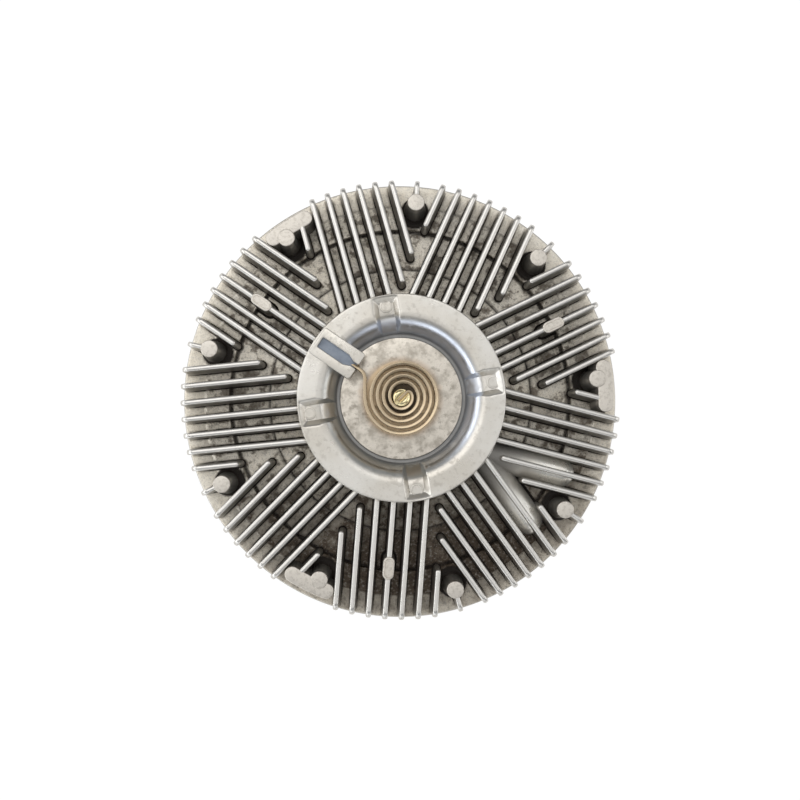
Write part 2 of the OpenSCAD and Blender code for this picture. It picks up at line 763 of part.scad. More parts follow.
module rotor() {
    color([0.70, 0.70, 0.68]) rotate_extrude($fn = 180) difference() {
        union() {
            translate([0, rotor_z]) square([rotor_r, rotor_t]);
            translate([0, bearing_top_z]) square([rotor_hub_d / 2, rotor_top_z - bearing_top_z]);
            for (i = [0 : cover_lands - 1])
                translate([first_land_r + (i + 0.5) * groove_pitch - groove_land / 2, rotor_z + bite])
                    square([groove_land, chamber_top_z - groove_gap - rotor_z - bite]);
        }
        translate([-bite, bearing_top_z - bite])
            square([rotor_seat_d / 2 + bite, rotor_top_z - bearing_top_z + 2 * bite]);
    }
}

// Section of a bearing race between two radii, with the ball groove
module race_section(r0, r1) {
    difference() {
        translate([r0, bearing_z]) square([r1 - r0, bearing_w]);
        translate([ball_pitch_r, ball_z]) circle(groove_r);
    }
}

module bearing_outer_race() {
    color([0.66, 0.67, 0.69]) rotate_extrude() race_section(outer_race_r, bearing_od / 2);
}

module bearing_inner_race() {
    color([0.66, 0.67, 0.69]) rotate_extrude() race_section(bearing_bore / 2, inner_race_r);
}

module bearing_balls() {
    color([0.80, 0.81, 0.82]) for (i = [0 : balls - 1]) rotate(i * 360 / balls)
        translate([ball_pitch_r, 0, ball_z]) sphere(d = ball_d);
}

module bearing_cage() {
    cage_w = bearing_w - 2 * (seal_inset + seal_t + turn_gap);
    cage_t = race_gap;
    color([0.76, 0.66, 0.40]) difference() {
        translate([0, 0, ball_z - cage_w / 2]) cylinder(r = ball_pitch_r + cage_t / 2, h = cage_w);
        translate([0, 0, ball_z - cage_w]) cylinder(r = ball_pitch_r - cage_t / 2, h = 2 * cage_w);
        for (i = [0 : balls - 1]) rotate(i * 360 / balls)
            translate([0, 0, ball_z]) rotate([0, 90, 0]) cylinder(r = groove_r, h = outer_race_r);
    }
}

// Flat ring that closes one side of the bearing
module bearing_seal(z) {
    translate([0, 0, z]) difference() {
        cylinder(r = outer_race_r - seat_fit, h = seal_t);
        translate([0, 0, -bite]) cylinder(r = inner_race_r + turn_gap, h = seal_t + 2 * bite);
    }
}

module bearing_seal_front() {
    color([0.12, 0.12, 0.12]) bearing_seal(bearing_top_z - seal_inset - seal_t);
}

module bearing_seal_rear() {
    color([0.12, 0.12, 0.12]) bearing_seal(bearing_z + seal_inset);
}

module valve_plate() {
    color([0.60, 0.60, 0.58]) difference() {
        translate([0, 0, chamber_top_z - plate_t]) cylinder(r = plate_r, h = plate_t);
        for (s = [0, 180]) rotate(fill_angle + s) translate([fill_r, 0, chamber_z])
            cylinder(d = fill_d, h = flange_z - chamber_z);
        for (i = [0 : rivets - 1]) rotate(rivet_angle(i)) translate([rivet_r, 0, chamber_z])
            cylinder(r = rivet_d / 2 + seat_fit, h = flange_z - chamber_z);
    }
}

module valve_plate_rivets() {
    color([0.64, 0.63, 0.60]) for (i = [0 : rivets - 1]) rotate(rivet_angle(i))
        translate([rivet_r, 0, chamber_top_z - plate_t]) {
            translate([0, 0, -rivet_head_h]) cylinder(r = rivet_head_r, h = rivet_head_h);
            translate([0, 0, -blend]) cylinder(d = rivet_d, h = plate_t + rivet_depth - thread_fit);
        }
}

module valve_arm() {
    color([0.62, 0.62, 0.60]) translate([0, 0, arm_z]) linear_extrude(arm_t) difference() {
        union() {
            rotate(fill_angle) square([2 * fill_r, arm_w - 2], center = true);
            for (s = [0, 180]) rotate(fill_angle + s) translate([fill_r, 0]) circle(d = arm_w);
            circle(collar_r);
        }
        circle(spigot_r + seat_fit);
    }
}

module valve_shaft() {
    color([0.86, 0.76, 0.42]) difference() {
        union() {
            translate([0, 0, arm_z]) cylinder(r = spigot_r, h = arm_t + blend);
            translate([0, 0, arm_top_z]) cylinder(r = collar_r, h = collar_h);
            translate([0, 0, arm_top_z + blend]) cylinder(d = valve_d, h = valve_top_z - arm_top_z - blend);
        }
        translate([0, 0, oring_z]) rotate_extrude()
            translate([valve_d / 2 - oring_depth, -oring_w / 2]) square([oring_depth + bite, oring_w]);
        rotate(slot_angle) translate([-valve_d, -strip_t / 2 - strip_fit, coil_z - strip_fit])
            cube([2 * valve_d, strip_t + 2 * strip_fit, strip_w + bite]);
    }
}

module valve_shaft_oring() {
    color([0.08, 0.08, 0.08]) translate([0, 0, oring_z]) rotate_extrude()
        translate([valve_d / 2 + shaft_fit - oring_d / 2 - oring_slack, 0]) circle(d = oring_d, $fn = 32);
}

// One half turn of the spiral, in the plane of the strip's edge, over an angle of up to half a turn
module half_turn(n, sweep) {
    r = half_turn_r(n);
    far = 2 * r;
    rotate(slot_angle) translate([half_turn_middle(n), 0]) intersection() {
        difference() {
            circle(r + strip_t / 2);
            circle(r - strip_t / 2);
        }
        rotate(n % 2 == 0 ? 0 : 180) polygon([
            [0, 0], [far, 0],
            if (sweep > 90) [far, -far],
            if (sweep > 90) [-far, -far],
            if (sweep <= 90) far * [1, -tan(sweep / 2)],
            far * [cos(sweep), -sin(sweep)]
        ]);
    }
}

// Outline of the coil: radial inner tab, half turns, then the tail that bends into the anchor slot
module coil_outline() {
    far = 4 * tail_bend_r;
    rotate(slot_angle) translate([-valve_d / 4, -strip_t / 2])
        square([coil_start_r + valve_d / 4, strip_t]);
    for (n = [0 : half_turns - 1]) half_turn(n, 180);
    half_turn(half_turns, exit_angle);
    translate([exit_x - strip_t / 2, exit_y]) square([strip_t, bend_y - exit_y]);
    translate([exit_x - tail_bend_r, bend_y]) intersection() {
        difference() {
            circle(tail_bend_r + strip_t / 2);
            circle(tail_bend_r - strip_t / 2);
        }
        polygon([[0, 0], [far, 0], far * [1, tan(tail_turn / 2)], far * [cos(tail_turn), sin(tail_turn)]]);
    }
    rotate(anchor_angle) translate([norm([bend_end_x, bend_end_y]), -strip_t / 2])
        square([neck_r + tail_grip - norm([bend_end_x, bend_end_y]), strip_t]);
}

module bimetal_coil() {
    color([0.66, 0.55, 0.38]) translate([0, 0, coil_z]) linear_extrude(strip_w) coil_outline();
}

module coil_bond() {
    color([0.50, 0.54, 0.60]) rotate(anchor_angle) translate([0, 0, slot_z])
        linear_extrude(bond_z - slot_z) difference() {
            slot_outline(block_end_r + bite);
            translate([0, -strip_t / 2 - seat_fit])
                square([neck_r + tail_grip + seat_fit, strip_t + 2 * seat_fit]);
        }
}

module pump_wiper() {
    wiper_r = chamber_r - seat_fit;
    wiper_z = chamber_top_z - wiper_h;
    color([0.45, 0.38, 0.26]) rotate(boss_at(ridge_boss)) intersection() {
        translate([0, 0, wiper_z]) difference() {
            cylinder(r = wiper_r, h = wiper_h);
            translate([0, 0, -bite]) cylinder(r = rotor_r + turn_gap, h = wiper_h + 2 * bite);
        }
        translate([rotor_r, 0, wiper_z + wiper_h / 2])
            cube([chamber_r, wiper_l, 2 * wiper_h], center = true);
    }
}

front_cover();
rear_housing();
cover_screws();
cover_seal();
drive_shaft();
rotor();
bearing_outer_race();
bearing_inner_race();
bearing_balls();
bearing_cage();
bearing_seal_front();
bearing_seal_rear();
valve_plate();
valve_plate_rivets();
valve_arm();
valve_shaft();
valve_shaft_oring();
bimetal_coil();
coil_bond();
pump_wiper();
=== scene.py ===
import math

import bmesh
import bpy
import numpy as np
from mathutils import Matrix, Vector


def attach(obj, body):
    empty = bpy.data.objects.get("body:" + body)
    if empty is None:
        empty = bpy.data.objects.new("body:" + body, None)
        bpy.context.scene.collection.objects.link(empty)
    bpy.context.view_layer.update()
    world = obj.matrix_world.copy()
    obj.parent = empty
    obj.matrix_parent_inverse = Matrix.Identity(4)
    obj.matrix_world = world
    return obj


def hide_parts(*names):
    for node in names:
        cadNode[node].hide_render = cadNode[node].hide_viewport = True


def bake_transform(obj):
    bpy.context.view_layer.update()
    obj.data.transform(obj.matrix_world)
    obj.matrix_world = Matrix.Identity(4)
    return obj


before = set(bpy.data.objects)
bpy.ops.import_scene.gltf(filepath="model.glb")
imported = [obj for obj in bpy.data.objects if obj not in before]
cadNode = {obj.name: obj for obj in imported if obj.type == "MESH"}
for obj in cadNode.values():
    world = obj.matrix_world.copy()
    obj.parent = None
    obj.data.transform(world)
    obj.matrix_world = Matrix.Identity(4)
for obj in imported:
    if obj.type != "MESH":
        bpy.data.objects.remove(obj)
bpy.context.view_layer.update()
mm = 0.001  # pieces are worked out in millimetres and put into the mesh in metres
print("frame loaded,", len(cadNode), "nodes")


# Shapes

def smooth(value, low, high):  # 0 below low, 1 above high, an S curve between
    t = np.clip((value - low) / (high - low), 0.0, 1.0)
    return t * t * (3.0 - 2.0 * t)


def gridFaces(rows, cols, wrapRows=False, wrapCols=False):  # quads between neighbouring grid points
    r, c = np.meshgrid(np.arange(rows if wrapRows else rows - 1),
                       np.arange(cols if wrapCols else cols - 1), indexing="ij")
    r1, c1 = (r + 1) % rows, (c + 1) % cols
    return np.stack([r * cols + c, r * cols + c1, r1 * cols + c1, r1 * cols + c], -1).reshape(-1, 4)


def copiesOf(faces, count, size):  # the same faces once for each of count point blocks
    return (faces[None] + size * np.arange(count)[:, None, None]).reshape(-1, faces.shape[1])


def turned(points, degrees):  # points turned about the shaft; one angle, or one for each block of points
    a = np.radians(np.asarray(degrees, float))
    a = a.reshape(a.shape + (1,) * (points.ndim - 1 - a.ndim))
    x, y = points[..., 0], points[..., 1]
    return np.stack([x * np.cos(a) - y * np.sin(a), x * np.sin(a) + y * np.cos(a), points[..., 2]], -1)


def repeatRound(one, faces, degrees, radius=0.0):  # one shell moved outwards and set at each of the angles
    one = one + np.array([radius, 0, 0])
    points = turned(np.broadcast_to(one, (len(degrees),) + one.shape), degrees)
    return points, copiesOf(faces, len(degrees), one.shape[0] * one.shape[1])


def filletLine(corners, closed=False, steps=6):  # straight runs, each corner an arc tangent to both its sides
    p = np.array([c[:2] for c in corners], float)
    radius = np.array([c[2] for c in corners], float)
    before, after = np.roll(p, 1, 0) - p, np.roll(p, -1, 0) - p
    lb, la = np.linalg.norm(before, axis=1), np.linalg.norm(after, axis=1)
    ub, ua = before / lb[:, None], after / la[:, None]
    half = np.arccos(np.clip((ub * ua).sum(1), -1, 1)) / 2
    cut = radius / np.maximum(np.tan(half), 1e-6)
    cut = np.minimum(cut, 0.49 * np.minimum(lb, la))  # an arc takes less than half of either side
    if not closed:
        cut[[0, -1]] = 0
    s = np.linspace(0, 1, steps)[:, None]
    runs = []
    for a, u, v, k, h in zip(p, ub, ua, cut, half):
        if k < 1e-6:
            runs.append(a[None])
            continue
        centre = a + (u + v) / (2 * math.cos(h) ** 2) * k
        first, last = a + u * k - centre, a + v * k - centre
        span = math.pi - 2 * h
        arc = np.sin((1 - s) * span) * first + np.sin(s * span) * last  # turns evenly from first to last
        runs.append(centre + arc / math.sin(span))
    return np.concatenate(runs)


def walkRound(spine, capSteps=7):  # once round an open line: points on it, and the way out from it at each
    along = np.gradient(spine, axis=-2)
    along = along / np.linalg.norm(along, axis=-1, keepdims=True)
    left = np.stack([-along[..., 1], along[..., 0]], -1)
    a = np.linspace(-np.pi / 2, np.pi / 2, capSteps)[1:-1, None]
    far = np.cos(a) * along[..., -1:, :] + np.sin(a) * left[..., -1:, :]
    near = -np.cos(a) * along[..., :1, :] - np.sin(a) * left[..., :1, :]
    cap = np.ones((capSteps - 2, 1))
    back = spine[..., ::-1, :]
    base = np.concatenate([spine, spine[..., -1:, :] * cap, back, spine[..., :1, :] * cap], -2)
    out = np.concatenate([-left, far, left[..., ::-1, :], near], -2)
    return base, out


def walkCircle(count=40):  # once round a point
    a = np.linspace(0, 2 * np.pi, count, endpoint=False)
    return np.zeros((count, 2)), np.stack([np.cos(a), np.sin(a)], -1)


def stack(base, out, levels):  # a closed shell from (radius, height) levels, starting and ending on the line
    levels = np.array([(0, levels[0][1]), *levels, (0, levels[-1][1])], float)
    flat = base[None] + levels[:, 0, None, None] * out[None]
    z = np.broadcast_to(levels[:, 1, None, None], flat.shape[:2] + (1,))
    return np.concatenate([flat, z], -1), gridFaces(len(levels), len(base), wrapCols=True)


def revolve(profile, count=360):  # a closed (radius, height) profile turned about the shaft
    a = np.linspace(0, 2 * np.pi, count, endpoint=False)[None]
    r, z = profile[:, :1], profile[:, 1:]
    points = np.stack([r * np.cos(a), r * np.sin(a), z + 0 * a], -1)
    return points, gridFaces(len(profile), count, True, True)


def edgeLevels(radius, top, edge, steps=5):  # quarter-round edge under a flat top
    a = np.radians(np.linspace(0, 90, steps))
    return [(radius - edge + edge * c, top - edge + edge * s) for c, s in zip(np.cos(a), np.sin(a))]


def footLevels(radius, ground, flare, steps=5, sunk=0.8):  # hollow curve out of the floor, begun below it
    curve = [(radius + flare * (1 - math.sqrt(1 - (1 - k) ** 2)), ground + flare * k)
             for k in np.linspace(0, 1, steps)]
    return [(radius + flare, ground - sunk), *curve]


def endCaps(rows, cols):  # the first and the last row of a tube's points as faces
    return [range(cols)[::-1], range((rows - 1) * cols, rows * cols)]


def makePiece(name, points, faces, body, slotName, material, standsFor=(), sharp=38, caps=(), groove=None):
    mesh = bpy.data.meshes.new(name)
    mesh.from_pydata((points.reshape(-1, 3) * mm).tolist(), [], [*faces.tolist(), *[list(c) for c in caps]])
    work = bmesh.new()
    work.from_mesh(mesh)
    bmesh.ops.remove_doubles(work, verts=work.verts, dist=1e-6)
    bmesh.ops.recalc_face_normals(work, faces=work.faces)
    work.to_mesh(mesh)
    work.free()
    mesh.polygons.foreach_set("use_smooth", np.ones(len(mesh.polygons), bool))
    mesh.set_sharp_from_angle(angle=math.radians(sharp))
    mesh.materials.append(material)
    if groove is not None:  # how deep in the grooves each point lies; the points have kept their order
        values = np.zeros(len(mesh.vertices), np.float32)
        values[:np.size(groove) if np.ndim(groove) else None] = groove
        mesh.attributes.new("groove", "FLOAT", "POINT").data.foreach_set("value", values)
    piece = bpy.data.objects.new(name, mesh)
    bpy.context.scene.collection.objects.link(piece)
    if body:  # a piece without one is left unattached
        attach(piece, body)
    if standsFor:
        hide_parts(*standsFor)
    return piece


def coverPiece(name, points, faces, material, **more):  # a piece of the front casting
    return makePiece(name, points, faces, "housing", "cast_front", material, ["front_cover"], **more)


def rearPiece(name, points, faces):  # a piece of the rear casting
    return makePiece(name, points, faces, "housing", "cast_rear", castBack, ["rear_housing"])


# Materials

class Wire:  # one socket; sums on it add Math nodes
    def __init__(self, sheet, socket):
        self.sheet, self.socket = sheet, socket

    def __add__(self, other):
        return self.sheet.sum("ADD", self, other)

    def __sub__(self, other):
        return self.sheet.sum("SUBTRACT", self, other)

    def __rsub__(self, other):
        return self.sheet.sum("SUBTRACT", other, self)

    def __mul__(self, other):
        return self.sheet.sum("MULTIPLY", self, other)

    def __pow__(self, other):
        return self.sheet.sum("POWER", self, other)

    __radd__, __rmul__ = __add__, __mul__


class NodeSheet:  # one material's nodes
    def __init__(self, name):
        self.material = bpy.data.materials.new(name)
        self.material.use_nodes = True
        self.tree = self.material.node_tree
        self.shader = self.tree.nodes["Principled BSDF"]

    def add(self, kind, settings=None, inputs=None, out=0):  # settings first, then sockets' values or links
        item = self.tree.nodes.new(kind)
        for key, value in (settings or {}).items():
            setattr(item, key, value)
        for key, value in (inputs.items() if isinstance(inputs, dict) else enumerate(inputs or [])):
            self.put(item.inputs[key], value)
        return Wire(self, item.outputs[out])

    def put(self, socket, value):
        if isinstance(value, Wire):
            self.tree.links.new(value.socket, socket)
        else:
            socket.default_value = value

    def sum(self, operation, first, second):
        return self.add("ShaderNodeMath", {"operation": operation}, [first, second])

    def ease(self, value, low, high):  # 0 below low, 1 above high
        return self.add("ShaderNodeMapRange", {"interpolation_type": "SMOOTHSTEP"},
                        {0: value, 1: low, 2: high})

    def limit(self, value):
        return self.add("ShaderNodeClamp", None, [value, 0.0, 1.0])

    def noise(self, spot, scale, detail=3.0, rough=0.55):
        return self.add("ShaderNodeTexNoise", None,
                        {"Vector": spot, "Scale": scale, "Detail": detail, "Roughness": rough})

    def stretch(self, spot, scale):
        return self.add("ShaderNodeMapping", None, {"Vector": spot, "Scale": scale})

    def mix(self, share, first, second):  # colours
        return self.add("ShaderNodeMix", {"data_type": "RGBA"}, {0: share, 6: first, 7: second}, out=2)

    def spot(self):
        return self.add("ShaderNodeTexCoord", out="Object")

    def millimetres(self, spot):
        return [self.add("ShaderNodeSeparateXYZ", None, [spot], out=k) * 1000.0 for k in range(3)]

    def bump(self, height, strength, distance):
        return self.add("ShaderNodeBump", None,
                        {"Strength": strength, "Distance": distance, "Height": height})

    def finish(self, **sockets):
        for key, value in sockets.items():
            words = "".join(" " + c if c.isupper() else c for c in key).strip()
            self.put(self.shader.inputs[words], value)
        return self.material


def tint(red, green, blue):  # a colour as it looks on screen, 0 to 255, made linear
    c = np.array([red, green, blue]) / 255.0
    c = np.where(c <= 0.04045, c / 12.92, ((c + 0.055) / 1.055) ** 2.4)
    return (*c.tolist(), 1.0)


coverLook = {
    # the dust colour is painted paler than real dust, as light between the fins; the mud, grime, gutter and
    # shadowed colours also serve as painted shade, and the cove and wall colours as a painted reflection
    "clean": tint(206, 203, 197), "warm": tint(194, 189, 180), "stain": tint(144, 137, 126),
    "top": tint(208, 205, 200), "recess": tint(202, 195, 184), "dust": tint(242, 233, 216),
    "mud": tint(108, 94, 79), "grimeAndShade": tint(44, 37, 31), "cove": tint(208, 215, 228),
    "wall": tint(188, 188, 184), "gutter": tint(114, 114, 114), "rust": tint(164, 128, 88),
    "shadowed": tint(214, 190, 155), "rough": 0.3, "topRough": 0.0, "topStain": 0.0, "sideShade": 0.5,
    "ringShade": 0.0, "footShade": 0.0, "metal": 0.95,
}
landLook = dict(coverLook, top=tint(204, 198, 189), topRough=0.16, topStain=0.3)
# ridges: a lighter copy of the casting's colours as painted light, painted shade at their feet and towards
# the ring
ridgeLitLook = dict(coverLook, clean=tint(240, 238, 232), warm=tint(226, 221, 211), rough=0.26,
                 sideShade=0.05, ringShade=0.75, footShade=0.85, metal=0.85)
coverZones = {  # radius, height or way across, in millimetres, over which one state passes into the next
    "ringFoot": (50.6, 51.2), "rimSide": (107.2, 107.8), "floorTop": (73.4, 74.4), "finTop": (88.8, 90.0),
    "rimBand": (96.4, 98.0), "sideTop": (83.0, 89.6), "sideShadeFade": (100.0, 106.0),
    "grooveFade": (101.0, 106.0), "lowerSide": (12.0, 84.0), "footTop": (76.0, 85.0),
    "ringShadeReach": (56.0, 82.0), "coveIn": (31.0, 31.8), "coveOut": (36.0, 40.0), "coveTop": (94.6, 95.8),
    "coveReflectionSweep": (-30.0, 20.0), "gutterIn": (29.62, 29.7), "gutterOut": (31.4, 33.4),
    "gutterTop": (86.0, 89.5), "recessTop": (85.6, 86.2), "recessEdge": (29.6, 29.8),
    "rustEdge": (18.0, 21.5), "coilEdge": (17.4, 19.0), "shaftEdge": (6.5, 10.5),
}


def castCover(name, look):  # die-cast front: clean ring, worn tops, a dusty floor painted pale as light between the fins, grime and painted shade in grooves, painted shade on sides, the lower side, the gutter and by the shaft, and a painted reflection tint in the cove
    s = NodeSheet(name)
    spot = s.spot()
    x, y, h = s.millimetres(spot)
    r = (x * x + y * y) ** 0.5
    groove = s.add("ShaderNodeAttribute", {"attribute_name": "groove"}, out="Fac")
    broad, patch = s.noise(spot, 34.0, 5.0), s.noise(spot, 150.0, 5.0, 0.62)
    spotty, grain = s.noise(spot, 330.0, 4.0, 0.6), s.noise(spot, 700.0, 4.0, 0.65)
    speck = s.noise(spot, 1500.0, 2.0)

    def past(value, zone):  # 0 before the zone, 1 beyond it
        return s.ease(value, *coverZones[zone])

    # where on the casting, each 0 to 1
    inRing = 1.0 - past(r, "ringFoot")
    outside = 1.0 - inRing
    onFloor = (1.0 - past(h, "floorTop")) * outside * (1.0 - past(r, "rimSide"))
    onTop = past(h, "finTop") * outside
    rim = past(r + (patch - 0.5) * 1.6, "rimBand")
    # side, foot and byRing feed painted shade: sides darker towards the floor and less so near the rim, ridge
    # feet, and ridges towards the ring
    side = (1.0 - past(h, "sideTop")) * outside * (1.0 - onFloor) * (1.0 - 0.6 * past(r, "sideShadeFade"))
    foot = (1.0 - past(h, "footTop")) * outside
    byRing = (1.0 - past(r + (patch - 0.5) * 12.0, "ringShadeReach")) * outside * (1.0 - onFloor)
    inCove = past(r, "coveIn") * (1.0 - past(r, "coveOut")) * (1.0 - past(h, "coveTop"))
    gutter = past(r, "gutterIn") * (1.0 - past(r, "gutterOut")) * (1.0 - past(h, "gutterTop"))
    recess = (1.0 - past(h, "recessTop")) * (1.0 - past(r, "recessEdge"))
    rusted = (1.0 - past(r + (patch - 0.5) * 6.0, "rustEdge")) * recess
    underCoil = (1.0 - past(r, "coilEdge")) * recess
    shadeByShaft = (1.0 - past(r, "shaftEdge")) * recess
    low = past(x * 0.17 - y, "lowerSide")  # painted shade: the lower side is darker, where the lamps reach less
    # what lies on it, and painted light and shade
    # pale dust over the floor, painted paler than real dust as light between the fins
    paleDustAndLight = onFloor * s.limit(0.75 + 0.3 * low + (broad - 0.5) * 0.8 + (patch - 0.5) * 1.0)
    blotch = s.ease(patch, 0.5, 0.59) * (1.0 - rim) * (1.0 - low)  # brown patches in the pads' pale dust, which is partly painted light
    # mud in random patches, and painted shade on the lower side
    mud = onFloor * s.limit(low * (1.0 - rim * 0.55) * 1.15 - 0.1 + (patch - 0.5) * 1.1 + blotch * 0.7)
    pits = s.ease(grain, 0.53, 0.63) * 0.55 + s.ease(spotty, 0.56, 0.68) * 0.5
    pits = pits + s.ease(speck, 0.57, 0.67) * 0.6
    flecks = onFloor * s.ease(1.0 - grain, 0.53, 0.64) * 0.65
    # grime and painted shade in the grooves round the feet and along the arcs
    grooveDirtAndShade = groove * (1.05 - 0.5 * past(r, "grooveFade"))
    grimeAndShade = s.limit(onFloor * (grooveDirtAndShade + pits * (0.44 + 0.3 * low - 0.2 * rim))
                    + side * (look["sideShade"] + (patch - 0.5) * 0.3)
                    + foot * look["footShade"] + byRing * look["ringShade"])
    spots = inRing * s.limit(s.ease(spotty, 0.53, 0.66) * s.ease(broad, 0.34, 0.56)
                             + s.ease(grain, 0.57, 0.68) * 0.6)
    worn = spots * (0.28 + 0.4 * recess) + onTop * s.ease(grain, 0.48, 0.62) * look["topStain"]
    # colours, each laid over the last
    tone = s.mix(s.ease(broad, 0.34, 0.66), look["clean"], look["warm"])
    tone = s.mix(onTop, tone, look["top"])
    tone = s.mix(recess, tone, s.mix(s.ease(patch, 0.4, 0.66) * 0.72, look["recess"], look["stain"]))
    tone = s.mix(s.limit(worn), tone, look["stain"])
    # painted reflection: the cove wall tinted bluish on one side, grey on the other
    tone = s.mix(inCove * 0.85, tone, s.mix(past(x + y, "coveReflectionSweep"), look["wall"], look["cove"]))
    # painted shade in the gutter at the foot of the cove wall
    tone = s.mix(gutter * 0.85, tone, look["gutter"])
    tone = s.mix(rusted * 0.35, tone, look["rust"])
    tone = s.mix(underCoil * 0.85, tone, look["shadowed"])
    # painted shade deep in the coil's inner turns by the shaft
    tone = s.mix(shadeByShaft * 0.9, tone, look["grimeAndShade"])
    # pale dust, partly painted light between the fins
    tone = s.mix(paleDustAndLight * 0.9, tone, look["dust"])
    # mud, with painted shade on the lower side
    tone = s.mix(mud, tone, look["mud"])
    tone = s.mix(flecks, tone, look["warm"])
    # grime, with painted shade in grooves, on sides, at feet and towards the ring
    tone = s.mix(grimeAndShade, tone, look["grimeAndShade"])
    soil = s.limit(paleDustAndLight * 0.6 + mud * 0.4 + grimeAndShade + rusted * 0.3 + gutter * 0.5)
    rough = look["rough"] + soil * 0.3 + (patch - 0.5) * 0.2 + spots * 0.12 + inCove * 0.04
    dents = s.limit((0.12 + 0.34 * onFloor + onTop * look["topRough"]) * (1.0 - inCove))
    return s.finish(BaseColor=tone, Metallic=s.limit(look["metal"] - soil * 0.65 - spots * 0.2),
                    Roughness=s.limit(rough + onTop * look["topRough"]),
                    Normal=s.bump(grain * 0.7 + speck * 0.3, dents, 0.0007))


rearLook = {"clean": tint(202, 200, 195), "warm": tint(180, 174, 163), "dust": tint(128, 119, 106),
            "dustFrom": (40.0, 50.0), "dustTo": (58.0, 62.0)}


def castRear(look):  # die-cast rear: plainer, with dust towards its corners
    s = NodeSheet("castRear")
    spot = s.spot()
    h = s.millimetres(spot)[2]
    broad, patch, grain = s.noise(spot, 40.0, 5.0), s.noise(spot, 180.0, 5.0), s.noise(spot, 900.0, 3.0)
    corner = s.ease(h, *look["dustFrom"]) * (1.0 - s.ease(h, *look["dustTo"]))
    dust = s.limit(corner * 0.6 + (patch - 0.5) * 1.1)
    tone = s.mix(s.ease(broad, 0.35, 0.65), look["clean"], look["warm"])
    tone = s.mix(dust * 0.75, tone, look["dust"])
    return s.finish(BaseColor=tone, Metallic=s.limit(0.95 - dust * 0.5),
                    Roughness=s.limit(0.36 + dust * 0.25 + (patch - 0.5) * 0.2),
                    Normal=s.bump(grain, 0.2, 0.0005))


def steelLike(name, light, dark, rough, streak=(1.0, 1.0, 1.0), scale=300.0):
    s = NodeSheet(name)  # plated, turned or rolled metal: two tones, streaks stretched one way, faint bump
    spot = s.spot()
    line, cloud = s.noise(s.stretch(spot, streak), scale, 4.0), s.noise(spot, 120.0, 4.0)
    tone = s.mix(s.limit(s.ease(cloud, 0.35, 0.68) * 0.6 + (line - 0.5) * 0.8), light, dark)
    return s.finish(BaseColor=tone, Metallic=1.0, Roughness=s.limit(rough + (line - 0.5) * 0.22),
                    Normal=s.bump(line, 0.1, 0.0003))


def softLike(name, light, dark, rough, scale, depth):  # rubber, compound or plastic: clouds and fine grain
    s = NodeSheet(name)
    spot = s.spot()
    cloud, grain = s.noise(spot, scale, 4.0), s.noise(spot, scale * 7.0, 2.0)
    return s.finish(BaseColor=s.mix(s.ease(cloud, 0.3, 0.7), light, dark),
                    Roughness=s.limit(rough + (cloud - 0.5) * 0.2), Normal=s.bump(grain, depth, 0.0003))


bimetalLook = {"brass": tint(186, 169, 143), "brown": tint(176, 153, 123), "edge": tint(192, 176, 150),
               "shadeBelow": (88.0, 94.4), "edgeFrom": (94.3, 94.65)}


def bimetalStrip(look):  # brass strip in brown clouds, browner downwards as painted shade between the turns, paler along its upper edge
    s = NodeSheet("bimetalStrip")
    spot = s.spot()
    h = s.millimetres(spot)[2]
    cloud, line = s.noise(spot, 190.0, 4.0), s.noise(s.stretch(spot, (1.0, 1.0, 9.0)), 260.0, 3.0)
    # brown clouds, and painted shade making the strip browner towards its foot
    brownAndShade = s.ease(cloud, 0.35, 0.7) * 0.55 + (1.0 - s.ease(h, *look["shadeBelow"])) * 0.45
    tone = s.mix(s.limit(brownAndShade), look["brass"], look["brown"])
    tone = s.mix(s.ease(h, *look["edgeFrom"]) * 0.55, tone, look["edge"])
    return s.finish(BaseColor=tone, Metallic=1.0, Roughness=s.limit(0.28 + (line - 0.5) * 0.2),
                    Normal=s.bump(line, 0.08, 0.0003))


castFront, castLand = castCover("castCover", coverLook), castCover("castLand", landLook)
castRidgeLit = castCover("castRidgeLit", ridgeLitLook)
castBack = castRear(rearLook)
strip = bimetalStrip(bimetalLook)
zinc = steelLike("zincPlate", tint(190, 190, 184), tint(140, 138, 130), 0.34)
turnedSteel = steelLike("turnedSteel", tint(168, 168, 168), tint(112, 111, 110), 0.3, (1.0, 1.0, 14.0))
rotorAlloy = steelLike("rotorAlloy", tint(196, 195, 191), tint(160, 158, 152), 0.32, (1.0, 1.0, 6.0))
groundSteel = steelLike("groundSteel", tint(206, 208, 212), tint(170, 172, 176), 0.16, (1.0, 1.0, 20.0))
cageBrass = steelLike("cageBrass", tint(204, 174, 104), tint(150, 120, 66), 0.3)
rolledSteel = steelLike("rolledSteel", tint(176, 175, 170), tint(128, 126, 120), 0.36, (1.0, 8.0, 1.0))
valveGold = steelLike("valveGold", tint(236, 222, 178), tint(178, 150, 100), 0.2, scale=500.0)
sealRubber = softLike("sealRubber", tint(34, 33, 32), tint(52, 50, 48), 0.55, 200.0, 0.15)
bondFill = softLike("bondFill", tint(138, 147, 160), tint(112, 121, 136), 0.3, 110.0, 0.04)
wiperPlastic = softLike("wiperPlastic", tint(122, 104, 74), tint(98, 82, 58), 0.45, 240.0, 0.1)
print("materials made")


# Front cover

floorZones = {"inner": 72.4, "sunk": 71.4, "band": 73.2, "rim": 72.0, "edges": (66.0, 85.0, 97.0),
              "slope": 0.7}


def floorHeight(r):  # levels of the floor from the ring outwards, joined by short S-shaped steps
    f, w = floorZones, floorZones["slope"] / 2
    a, b, c = [smooth(r, e - w, e + w) for e in f["edges"]]
    inwards = f["inner"] + a * (f["sunk"] - f["inner"])
    return inwards + b * (f["band"] - f["sunk"]) + c * (f["rim"] - f["band"])


